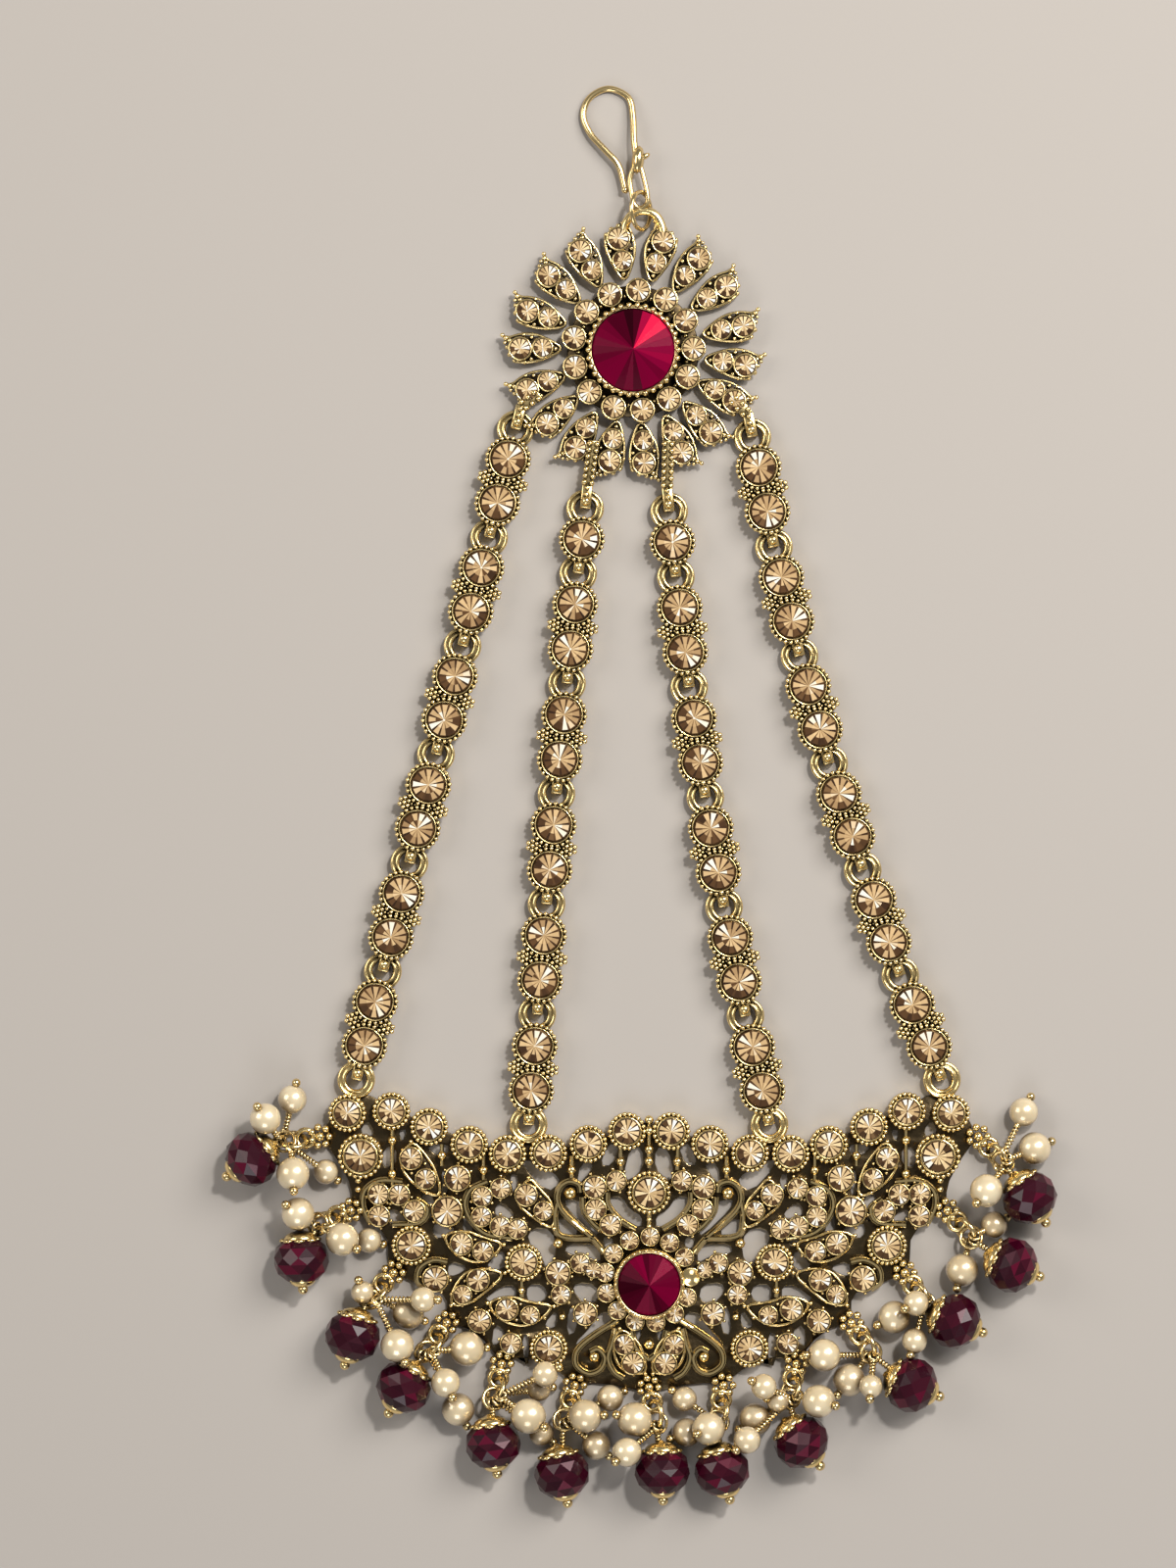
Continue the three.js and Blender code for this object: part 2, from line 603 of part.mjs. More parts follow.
function hookSolid() {
  const level = hookRoute[0].z;
  const at = ({ u, v, z = level }) => {
    const [x, y] = hookPoint({ u, v });
    return new THREE.Vector3(x, y, z);
  };
  const { x, y, z } = at(hookLump);
  const lump = new THREE.OctahedronGeometry(hookLumpRadius);
  lump.translate(x, y, z);
  const wire = wireSolid(hookRoute.map(at), hookWire, hookSteps);
  return fuse([wire, wireSolid(hookEye.map(at), hookRingWire, hookEyeSteps), solidOf(lump)]);
}

function hookRingSolid() {
  const geometry = new THREE.TorusGeometry(hookRingRadius, hookRingWire, wireSides, ringSides);
  geometry.rotateZ(90 * degrees);
  geometry.rotateY((90 - hookRingTilt) * degrees);
  const [x, y] = hookPoint(hookRingCentre);
  geometry.translate(x, y, hookRingLevel);
  return solidOf(geometry);
}

const jhoomar = new THREE.Group();
const rosetteGroup = new THREE.Group();
rosetteGroup.position.set(rosetteShift, rosetteRise, 0);
rosetteGroup.add(
  meshOf('rosette', rosetteSolid(), gold),
  meshOf('rosette_ruby', rivoli(rosetteRubyRadius, hubThickness + clearance, rosetteRubyHeight), ruby),
  meshOf('hair_hook', hookSolid(), brightGold),
  meshOf('hook_ring', hookRingSolid(), brightGold),
);
jhoomar.add(rosetteGroup);
jhoomar.add(meshOf('crescent_plate', plateSolid(), gold));
jhoomar.add(meshOf('plate_ruby', rivoli(plateRubyRadius, plateThickness + clearance, plateRubyHeight), ruby));
strands.forEach((strand, i) => jhoomar.add(...strandMeshes(strand, i + 1)));
const pearls = placedPearls();
fringe.forEach((row, i) => {
  const number = String(i + 1).padStart(2, '0');
  const own = pearls.filter(({ cluster }) => cluster === i);
  jhoomar.add(meshOf(`ruby_bead_${number}`, beadSolid(row), ruby));
  jhoomar.add(meshOf(`pearl_cluster_${number}`, clusterSolid(i, own), pearlAndWire));
});

// The origin is the middle of the jewel's outline, on the surface that it lies on
const box = new THREE.Box3().setFromObject(jhoomar);
const middle = box.getCenter(new THREE.Vector3());
jhoomar.position.set(-middle.x, -middle.y, -box.min.z);

export default jhoomar;
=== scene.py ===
# A jhoomar: hair hook, rosette, four stone-set strands and a crescent plate with a pearl fringe,
# laid flat on a pale surface. Sizes are in millimetres and become metres through mm.
import math
import random

import bpy
import numpy as np
from mathutils import Euler, Matrix, Vector


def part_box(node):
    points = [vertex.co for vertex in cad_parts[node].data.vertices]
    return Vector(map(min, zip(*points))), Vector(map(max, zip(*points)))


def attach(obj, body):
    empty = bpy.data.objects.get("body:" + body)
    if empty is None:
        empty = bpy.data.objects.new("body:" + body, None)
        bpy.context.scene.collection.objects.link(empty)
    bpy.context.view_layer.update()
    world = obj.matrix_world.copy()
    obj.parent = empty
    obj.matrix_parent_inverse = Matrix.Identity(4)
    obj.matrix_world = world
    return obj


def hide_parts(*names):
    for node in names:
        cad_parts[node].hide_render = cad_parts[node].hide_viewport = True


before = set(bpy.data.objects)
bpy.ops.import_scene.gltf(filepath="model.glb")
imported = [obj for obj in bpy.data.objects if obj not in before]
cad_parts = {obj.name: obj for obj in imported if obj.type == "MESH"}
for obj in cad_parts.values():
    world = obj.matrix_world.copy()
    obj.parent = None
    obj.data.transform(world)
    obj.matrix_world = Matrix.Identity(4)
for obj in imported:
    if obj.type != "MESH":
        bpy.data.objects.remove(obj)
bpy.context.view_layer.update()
mm = 0.001
step = 0.11  # one step of the plate's chart
rosetteStep = 29 / 264  # one step of the rosette's chart: 264 of them span its 29 mm
weldReach = 1e-7  # corners nearer than this are merged, in metres
smoothUnder = {'turned': 35, 'bar': 40, 'sheet': 40, 'wire': 60}  # degrees between faces
print("frame loaded:", len(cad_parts), "nodes")


def middleOf(node):
    low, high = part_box(node)
    return (low + high) / 2 / mm


plateMiddle = middleOf("plate_ruby")
rosetteMiddle = middleOf("rosette_ruby")


def onPlate(u, v):
    return Vector((plateMiddle.x + u * step, plateMiddle.y + v * step))


def onRosette(u, v):
    return Vector((rosetteMiddle.x + u * rosetteStep, rosetteMiddle.y + v * rosetteStep))


# Making shapes

def bare():
    bpy.ops.object.select_all(action='DESELECT')


def pick(piece):
    bare()
    piece.select_set(True)
    bpy.context.view_layer.objects.active = piece


def settle(piece):
    # the place goes into the mesh, so patterns stay put
    pick(piece)
    bpy.ops.object.transform_apply(location=True, rotation=True, scale=True)
    return piece


def smoothed(kind):
    bpy.ops.object.shade_smooth_by_angle(angle=math.radians(smoothUnder[kind]))


def linked(name, data):
    piece = bpy.data.objects.new(name, data)
    bpy.context.collection.objects.link(piece)
    return piece


def turnedForm(name, rings, sides, twist=0, bored=False, smooth=True):
    # a ring of edges pulled up from one radius and height to the next
    bare()
    radius, height = rings[0]
    bpy.ops.mesh.primitive_circle_add(vertices=sides, radius=radius * mm, location=(0, 0, height * mm),
                                      fill_type='NOTHING' if bored else 'NGON')
    form = bpy.context.object
    form.name = name
    settle(form)
    bpy.ops.object.mode_set(mode='EDIT')
    bpy.ops.mesh.select_mode(type='EDGE')
    bpy.ops.mesh.select_all(action='SELECT')
    for nextRadius, nextHeight in rings[1:]:
        rise = (0, 0, (nextHeight - height) * mm)
        bpy.ops.mesh.extrude_edges_move(TRANSFORM_OT_translate={'value': rise})
        grow = nextRadius / radius
        middle = (0, 0, nextHeight * mm)
        bpy.ops.transform.resize(value=(grow, grow, 1), center_override=middle)
        if twist:
            bpy.ops.transform.rotate(value=twist, orient_axis='Z', center_override=middle)
        radius, height = nextRadius, nextHeight
    if not bored:
        bpy.ops.mesh.edge_face_add()
    bpy.ops.mesh.select_all(action='SELECT')
    bpy.ops.mesh.remove_doubles(threshold=weldReach)
    if twist:
        bpy.ops.mesh.quads_convert_to_tris(quad_method='SHORTEST_DIAGONAL')
    bpy.ops.mesh.normals_make_consistent(inside=False)
    bpy.ops.object.mode_set(mode='OBJECT')
    if smooth:
        smoothed('turned')
    return form


def ball(name, segments=8, rows=5):
    bare()
    bpy.ops.mesh.primitive_uv_sphere_add(segments=segments, ring_count=rows, radius=mm)
    bpy.context.object.name = name
    bpy.ops.object.shade_smooth()
    return bpy.context.object


def bar(name, low, high, edge=0.08):
    bare()
    middle = (Vector(low) + Vector(high)) / 2 * mm
    bpy.ops.mesh.primitive_cube_add(size=1, location=middle)
    form = bpy.context.object
    form.name = name
    form.scale = (Vector(high) - Vector(low)) * mm
    settle(form)
    bpy.ops.object.mode_set(mode='EDIT')
    bpy.ops.mesh.select_all(action='SELECT')
    bpy.ops.mesh.bevel(offset=edge * mm, segments=2)
    bpy.ops.object.mode_set(mode='OBJECT')
    smoothed('bar')
    return form


def ringWire(name, radius, wire, segments, sides):
    bare()
    bpy.ops.mesh.primitive_torus_add(major_radius=radius * mm, minor_radius=wire * mm,
                                     major_segments=segments, minor_segments=sides)
    bpy.context.object.name = name
    bpy.ops.object.shade_smooth()
    return bpy.context.object


def meshFromCurve(name, curve, kind):
    pick(linked(name, curve))
    bpy.ops.object.convert(target='MESH')
    bpy.ops.object.mode_set(mode='EDIT')
    bpy.ops.mesh.select_all(action='SELECT')
    bpy.ops.mesh.remove_doubles(threshold=weldReach)
    bpy.ops.object.mode_set(mode='OBJECT')
    smoothed(kind)
    return bpy.context.object


def addSpline(curve, points, closed):
    spline = curve.splines.new('POLY')
    spline.points.add(len(points) - 1)
    for point, place in zip(spline.points, points):
        point.co = (place[0] * mm, place[1] * mm, (place[2] if len(place) > 2 else 0) * mm, 1)
    spline.use_cyclic_u = closed


def wires(name, routes, radius, closed=False, roundness=1):
    curve = bpy.data.curves.new(name, 'CURVE')
    curve.dimensions = '3D'
    curve.bevel_depth = radius * mm
    curve.bevel_resolution = roundness
    curve.use_fill_caps = True
    for route in routes:
        addSpline(curve, route, closed)
    return meshFromCurve(name, curve, 'wire')


def flatSheet(name, outlines, bottom, top, edge=0.1):
    curve = bpy.data.curves.new(name, 'CURVE')
    curve.dimensions = '2D'
    curve.fill_mode = 'BOTH'
    curve.extrude = ((top - bottom) / 2 - edge) * mm
    curve.bevel_depth = edge * mm
    curve.bevel_resolution = 1
    curve.offset = -edge * mm
    for outline in outlines:
        addSpline(curve, outline, True)
    piece = meshFromCurve(name, curve, 'sheet')
    piece.location.z = (top + bottom) / 2 * mm
    return settle(piece)


def softened(points, rounds=2, closed=True):
    # each round cuts every corner at a quarter of its sides; an open line keeps its ends
    for _ in range(rounds):
        following = points[1:] + points[:1] if closed else points[1:]
        cut = []
        for a, b in zip(points, following):
            a, b = Vector(a), Vector(b)
            cut += [tuple(a.lerp(b, 0.25)), tuple(a.lerp(b, 0.75))]
        points = cut if closed else [points[0]] + cut[1:-1] + [points[-1]]
    return points


def smoothRoute(points, steps=6):
    # a curve that passes through every point
    points = [Vector(p) for p in points]
    ends = [2 * points[0] - points[1]] + points + [2 * points[-1] - points[-2]]
    route = []
    for a, b, c, d in zip(ends, ends[1:], ends[2:], ends[3:]):
        for k in range(steps):
            t = k / steps
            route.append(0.5 * ((2 * b) + (c - a) * t + (2 * a - 5 * b + 4 * c - d) * t * t
                                + (3 * b - a - 3 * c + d) * t ** 3))
    return route + [points[-1]]


def joined(name, pieces):
    bare()
    for piece in pieces:
        piece.select_set(True)
    bpy.context.view_layer.objects.active = pieces[0]
    bpy.ops.object.join()
    whole = bpy.context.object
    whole.name = name
    whole.data.name = name
    return whole


def spot(x, y, z=0, turn=0, size=1):
    scale = size if isinstance(size, tuple) else (size, size, size)
    return Matrix.LocRotScale(Vector((x, y, z)) * mm, Euler((0, 0, turn)), Vector(scale))


def aimed(start, way, size=1):
    # a form made along +Z, laid along a direction
    turn = Vector(way).to_track_quat('Z', 'Y')
    return Matrix.LocRotScale(Vector(start) * mm, turn, Vector((size, size, size)))


def milgrain(x, y, z, reach, count, size, start=0):
    # a ring of granules
    angles = [start + k * math.tau / count for k in range(count)]
    return [spot(x + reach * math.cos(a), y + reach * math.sin(a), z, 0, size) for a in angles]


def clusterBalls(x, y, z, around, ring, size, raised=0.4):
    # a ring of granules with one in its middle, raised by a share of its radius
    return [spot(x, y, z + size * raised, 0, size)] + milgrain(x, y, z, ring, around, size)


def readArray(items, key, kind, width=1):
    values = np.empty(len(items) * width, kind)
    items.foreach_get(key, values)
    return values


def spread(name, master, places):
    # one mesh that holds the master at every place
    source = master.data
    corners = readArray(source.vertices, 'co', float, 3).reshape(-1, 3)
    loops = readArray(source.loops, 'vertex_index', np.int32)
    starts = readArray(source.polygons, 'loop_start', np.int32)
    smooth = readArray(source.polygons, 'use_smooth', bool)
    moves = np.array([[list(row) for row in place] for place in places])
    count = len(places)
    laid = np.einsum('nij,kj->nki', moves[:, :3, :3], corners) + moves[:, None, :3, 3]
    rank = np.arange(count)[:, None]
    mesh = bpy.data.meshes.new(name)
    mesh.vertices.add(count * len(corners))
    mesh.vertices.foreach_set('co', laid.ravel())
    mesh.loops.add(count * len(loops))
    mesh.loops.foreach_set('vertex_index', (loops[None] + rank * len(corners)).ravel())
    mesh.polygons.add(count * len(starts))
    mesh.polygons.foreach_set('loop_start', (starts[None] + rank * len(loops)).ravel())
    mesh.polygons.foreach_set('use_smooth', np.tile(smooth, count))
    mesh.update(calc_edges=True)
    mesh.validate()
    bpy.data.objects.remove(master)
    return linked(name, mesh)


# Stones

toneScatter = 0.04  # how far a facet's tone strays; tones run from 0, dark, to 1, bright

# the facet tones paint light: shadeFrom aims the painted shade and windowAt the painted highlight, in
# degrees; past edge lies the ring of painted shade by the collet
stone = {
    'rings': [(0.94, -0.2), (1.0, 0.0), (0.9, 0.13), (0.5, 0.155), (0.06, 0.12)], 'sides': 24,
    'widened': 5.5, 'edge': 0.88, 'core': 0.42,
    'shadeFrom': 235, 'shadeScatter': 55, 'coreShadeScatter': 50, 'shadedSlices': [3, 4, 5],
    'windowAt': 55, 'windowScatter': 90, 'coreWindowScatter': 110,
    'plainTone': (0.48, 0.8), 'coreLift': 0.06, 'shadedTone': (0.05, 0.3), 'coreShade': 0.2,
    'besideShine': (0.75, 1.0), 'edgeTone': (0.0, 0.18), 'rayTone': (0.0, 0.2), 'coreRayTone': (0.1, 0.5),
}


def giveTones(piece, tones):
    piece.data.attributes.new('tone', 'FLOAT', 'FACE').data.foreach_set('value', tones)


def sectorOf(angle, count):
    return int(angle % math.tau / math.tau * count)


def cutStones(name, places, seed):
    # chatons: wide champagne slices with thin dark rays between them. Their tones are painted light fixed to
    # the facets: a painted highlight on the slice towards the window lamp, painted shade on slices away from
    # it and on the outer ring by the collet, and dark rays that are painted reflections; the rest differ at
    # random
    sides, slices = stone['sides'], stone['sides'] // 2
    master = turnedForm('stone', stone['rings'], sides, smooth=False)
    for vertex in master.data.vertices:
        if round(math.atan2(vertex.co.y, vertex.co.x) / math.tau * sides) % 2:
            vertex.co.rotate(Euler((0, 0, math.radians(stone['widened']))))
    facets = []
    for face in master.data.polygons:
        part = sectorOf(math.atan2(face.center.y, face.center.x), sides)
        facets.append((part // 2, part % 2, face.center.xy.length / mm))
    chance = random.Random(seed)

    def toward(angle, scatter, turn):
        return sectorOf(math.radians(chance.gauss(angle, scatter)) - turn, slices)

    tones = []
    for place in places:
        turn = place.to_euler().z
        outer = [chance.uniform(*stone['plainTone']) for _ in range(slices)]
        inner = [tone + stone['coreLift'] for tone in outer]
        # painted shade: a few slices on the side away from the window lamp are made dark
        for _ in range(chance.choice(stone['shadedSlices'])):
            shade = chance.uniform(*stone['shadedTone'])
            outer[toward(stone['shadeFrom'], stone['shadeScatter'], turn)] = shade
        inner[toward(stone['shadeFrom'], stone['coreShadeScatter'], turn)] = stone['coreShade']
        # painted highlight: the slice towards the window lamp and its neighbour are made brightest
        paintedGlint = toward(stone['windowAt'], stone['windowScatter'], turn)
        outer[paintedGlint] = inner[paintedGlint] = 1.0
        outer[(paintedGlint + 1) % slices] = chance.uniform(*stone['besideShine'])
        inner[toward(stone['windowAt'], stone['coreWindowScatter'], turn)] = 1.0
        for part, narrow, reach in facets:
            # painted shade on the outer ring by the collet, and painted reflections in the dark rays
            if reach > stone['edge']:
                tone = chance.uniform(*stone['edgeTone'])
            elif narrow:
                tone = chance.uniform(*stone['rayTone' if reach > stone['core'] else 'coreRayTone'])
            else:
                tone = (outer if reach > stone['core'] else inner)[part]
                tone += chance.uniform(-toneScatter, toneScatter)
            tones.append(tone)
    piece = spread(name, master, places)
    giveTones(piece, tones)
    return piece


# Finishes

def setInputs(node, values):
    for socket, value in values.items():
        node.inputs[socket].default_value = value
    return node


def newGroup(name, inputs, outputs):
    group = bpy.data.node_groups.new(name, 'ShaderNodeTree')
    for label, kind, value in inputs:
        socket = group.interface.new_socket(name=label, in_out='INPUT', socket_type=kind)
        socket.default_value = value
    for label, kind in outputs:
        group.interface.new_socket(name=label, in_out='OUTPUT', socket_type=kind)
    return group, group.nodes.new('NodeGroupInput'), group.nodes.new('NodeGroupOutput')


def ramp(nodes, stops):
    node = nodes.new('ShaderNodeValToRGB')
    while len(node.color_ramp.elements) < len(stops):
        node.color_ramp.elements.new(0.5)
    for element, (place, color) in zip(node.color_ramp.elements, stops):
        element.position = place
        element.color = (*color, 1)
    return node


aging = {
    'samples': 6, 'mottleDetail': 3, 'mottleShare': 0.35, 'bareAt': 1.05, 'hollowRoughness': 0.5,
    'bareRoughness': 0.18, 'bumpReach': 0.1,
}

# Oxide left in the recesses of cast gold: raised parts are bright, hollows are dark and rough
patina, patinaIn, patinaOut = newGroup(
    'patina',
    [('Bright', 'NodeSocketColor', (0.8, 0.6, 0.3, 1)), ('Oxide', 'NodeSocketColor', (0.1, 0.07, 0.03, 1)),
     ('Reach', 'NodeSocketFloat', 0.0009), ('Depth', 'NodeSocketFloat', 0.5),
     ('Grain', 'NodeSocketFloat', 900)],
    [('Color', 'NodeSocketColor'), ('Roughness', 'NodeSocketFloat'), ('Height', 'NodeSocketFloat')])
nodes, links = patina.nodes, patina.links
coords = nodes.new('ShaderNodeTexCoord')
hollow = nodes.new('ShaderNodeAmbientOcclusion')
hollow.samples = aging['samples']
links.new(patinaIn.outputs['Reach'], hollow.inputs['Distance'])
mottle = setInputs(nodes.new('ShaderNodeTexNoise'), {'Detail': aging['mottleDetail']})
links.new(coords.outputs['Object'], mottle.inputs['Vector'])
links.new(patinaIn.outputs['Grain'], mottle.inputs['Scale'])
lift = setInputs(nodes.new('ShaderNodeMath'), {1: aging['mottleShare']})
lift.operation = 'MULTIPLY_ADD'
links.new(mottle.outputs['Fac'], lift.inputs[0])
links.new(hollow.outputs['AO'], lift.inputs[2])
bared = setInputs(nodes.new('ShaderNodeMapRange'), {'From Max': aging['bareAt']})
links.new(lift.outputs[0], bared.inputs['Value'])
links.new(patinaIn.outputs['Depth'], bared.inputs['From Min'])
tint = nodes.new('ShaderNodeMix')
tint.data_type = 'RGBA'
links.new(bared.outputs[0], tint.inputs[0])
links.new(patinaIn.outputs['Oxide'], tint.inputs[6])
links.new(patinaIn.outputs['Bright'], tint.inputs[7])
rough = setInputs(nodes.new('ShaderNodeMapRange'), {
    'To Min': aging['hollowRoughness'], 'To Max': aging['bareRoughness']})
links.new(bared.outputs[0], rough.inputs['Value'])
links.new(tint.outputs[2], patinaOut.inputs['Color'])
links.new(rough.outputs[0], patinaOut.inputs['Roughness'])
links.new(mottle.outputs['Fac'], patinaOut.inputs['Height'])


def newFinish(name, values):
    finish = bpy.data.materials.new(name)
    finish.use_nodes = True
    nodes = finish.node_tree.nodes
    return finish, nodes, finish.node_tree.links, setInputs(nodes['Principled BSDF'], values)


def castGold(name, look):
    finish, nodes, links, shader = newFinish(name, {'Metallic': 1})
    aged = nodes.new('ShaderNodeGroup')
    aged.node_tree = patina
    setInputs(aged, {label: look[label] for label in ('Bright', 'Oxide', 'Reach', 'Depth', 'Grain')})
    links.new(aged.outputs['Color'], shader.inputs['Base Color'])
    links.new(aged.outputs['Roughness'], shader.inputs['Roughness'])
    bump = setInputs(nodes.new('ShaderNodeBump'), {
        'Strength': look['bump'], 'Distance': aging['bumpReach'] * mm})
    links.new(aged.outputs['Height'], bump.inputs['Height'])
    links.new(bump.outputs['Normal'], shader.inputs['Normal'])
    return finish


# Reach is how far a hollow is felt, in metres, and Depth the openness under which all is oxide
antiqueGold = castGold('antiqueGold', {
    'Bright': (0.95, 0.73, 0.34, 1), 'Oxide': (0.02, 0.012, 0.004, 1), 'Reach': 0.001, 'Depth': 0.68,
    'Grain': 1500, 'bump': 0.2})
reliefGold = castGold('reliefGold', {
    'Bright': (0.95, 0.73, 0.34, 1), 'Oxide': (0.03, 0.019, 0.007, 1), 'Reach': 0.0006, 'Depth': 0.36,
    'Grain': 1500, 'bump': 0.2})
# painted shade: a near-black gold for the low grounds under the relief, so they read as the shadowed gaps
# between the pieces
paintedShadeGold = castGold('paintedShadeGold', {
    'Bright': (0.11, 0.08, 0.042, 1), 'Oxide': (0.016, 0.011, 0.007, 1), 'Reach': 0.0012, 'Depth': 0.45,
    'Grain': 1200, 'bump': 0.5})
paleWire = castGold('paleWire', {
    'Bright': (0.84, 0.64, 0.31, 1), 'Oxide': (0.05, 0.032, 0.012, 1), 'Reach': 0.0008, 'Depth': 0.48,
    'Grain': 700, 'bump': 0.08})


def cutStone(name, stops, look):
    finish, nodes, links, shader = newFinish(name, {'Coat Roughness': 0.04, **look})
    tone = nodes.new('ShaderNodeAttribute')
    tone.attribute_name = 'tone'
    colors = ramp(nodes, stops)
    links.new(tone.outputs['Fac'], colors.inputs['Fac'])
    links.new(colors.outputs['Color'], shader.inputs['Base Color'])
    return finish


champagne = cutStone('champagneCrystal', [
    (0.0, (0.03, 0.012, 0.004)), (0.25, (0.13, 0.062, 0.022)), (0.5, (0.42, 0.26, 0.12)),
    (0.8, (0.76, 0.53, 0.27)), (1.0, (1.0, 0.95, 0.80))],
    {'Metallic': 0.3, 'Roughness': 0.14, 'Specular IOR Level': 0.4, 'Coat Weight': 0.6})
paleChampagne = cutStone('paleChampagne', [
    (0.0, (0.022, 0.009, 0.003)), (0.25, (0.12, 0.06, 0.022)), (0.5, (0.54, 0.36, 0.17)),
    (0.8, (0.95, 0.72, 0.40)), (1.0, (1.0, 0.98, 0.9))],
    {'Metallic': 0.3, 'Roughness': 0.12, 'Specular IOR Level': 0.4, 'Coat Weight': 0.55})
rubyCrystal = cutStone('rubyCrystal', [
    (0.0, (0.012, 0.0, 0.002)), (0.3, (0.045, 0.0, 0.007)), (0.6, (0.15, 0.0, 0.022)),
    (0.85, (0.34, 0.002, 0.035)), (1.0, (0.74, 0.01, 0.05))],
    {'Metallic': 0.0, 'Roughness': 0.45, 'Specular IOR Level': 0.02, 'Coat Weight': 0.04})
burgundyGlass = cutStone('burgundyGlass', [
    (0.0, (0.011, 0.0, 0.003)), (0.5, (0.032, 0.001, 0.007)), (1.0, (0.095, 0.002, 0.018))],
    {'Metallic': 0.0, 'Roughness': 0.22, 'Specular IOR Level': 0.22, 'Coat Weight': 0.16})

nacre = {
    'cloudScale': 350, 'cream': [(0.3, (0.66, 0.53, 0.33)), (0.7, (0.82, 0.70, 0.48))],
    'shadow': (0.17, 0.10, 0.035, 1), 'shadowReach': 6, 'samples': 6, 'shadowFrom': 0.35, 'shadowTo': 0.92,
    'look': {'Metallic': 0.35, 'Roughness': 0.26, 'Coat Weight': 1, 'Coat Roughness': 0.03,
             'Subsurface Weight': 0.1, 'Subsurface Radius': (0.001, 0.0006, 0.0004)},
}
pearlCoat, nodes, links, shader = newFinish('pearlCoat', nacre['look'])
coords = nodes.new('ShaderNodeTexCoord')
cloud = setInputs(nodes.new('ShaderNodeTexNoise'), {'Scale': nacre['cloudScale']})
links.new(coords.outputs['Object'], cloud.inputs['Vector'])
cream = ramp(nodes, nacre['cream'])
links.new(cloud.outputs['Fac'], cream.inputs['Fac'])
contact = setInputs(nodes.new('ShaderNodeAmbientOcclusion'), {'Distance': nacre['shadowReach'] * mm})
contact.samples = nacre['samples']
falloff = setInputs(nodes.new('ShaderNodeMapRange'), {
    'From Min': nacre['shadowFrom'], 'From Max': nacre['shadowTo']})
links.new(contact.outputs['AO'], falloff.inputs['Value'])
rim = nodes.new('ShaderNodeMix')
rim.data_type = 'RGBA'
setInputs(rim, {6: nacre['shadow']})
links.new(falloff.outputs[0], rim.inputs[0])
links.new(cream.outputs['Color'], rim.inputs[7])
links.new(rim.outputs[2], shader.inputs['Base Color'])
print("finishes made")


def shown(piece, finish, stands=()):
    piece.data.materials.clear()
    piece.data.materials.append(finish)
    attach(piece, "root")
    if stands:
        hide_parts(*stands)
    return piece


# Camera, light and floor

view = {'height': 176, 'middle': (-5.8, 1.0), 'distance': 620, 'level': 1.5, 'sensor': 36, 'nearest': 10}
camera = linked('camera', bpy.data.cameras.new('camera'))
camera.data.sensor_width = view['sensor']
camera.data.lens = view['sensor'] * view['distance'] / view['height']
camera.data.clip_start = view['nearest'] * mm
camera.location = [place * mm for place in (*view['middle'], view['distance'] + view['level'])]
bpy.context.scene.camera = camera

lamps = [
    {'name': 'windowLamp', 'at': (430, 340, 520), 'size': 380, 'power': 4.6, 'color': (1.0, 0.97, 0.93)},
    {'name': 'sideLamp', 'at': (-480, 160, 380), 'size': 320, 'power': 1.3, 'color': (1.0, 0.95, 0.88)},
    {'name': 'frontLamp', 'at': (-60, -520, 420), 'size': 300, 'power': 1.0, 'color': (0.96, 0.97, 1.0)},
    {'name': 'smallLamp', 'at': (170, 230, 520), 'size': 50, 'power': 2.4, 'color': (1.0, 0.98, 0.95)},
]
for lamp in lamps:
    light = bpy.data.lights.new(lamp['name'], 'AREA')
    light.size = lamp['size'] * mm
    light.energy = lamp['power']
    light.color = lamp['color']
    holder = linked(lamp['name'], light)
    holder.location = Vector(lamp['at']) * mm
    holder.rotation_euler = (-Vector(lamp['at'])).to_track_quat('-Z', 'Y').to_euler()

room = {'Color': (0.86, 0.85, 0.84, 1), 'Strength': 0.28}
world = bpy.data.worlds.new('room')
bpy.context.scene.world = world
world.use_nodes = True
setInputs(world.node_tree.nodes['Background'], room)
bpy.context.scene.view_settings.view_transform = 'Standard'

ground = {'size': 3000, 'look': {'Base Color': (0.345, 0.318, 0.292, 1), 'Roughness': 0.85}}
bpy.ops.mesh.primitive_plane_add(size=ground['size'] * mm, location=(0, 0, 0))
floor = bpy.context.object
floor.name = 'floor'
floor.data.materials.append(newFinish('paleFloor', ground['look'])[0])
print("camera, lamps and floor placed")


# Strands of links

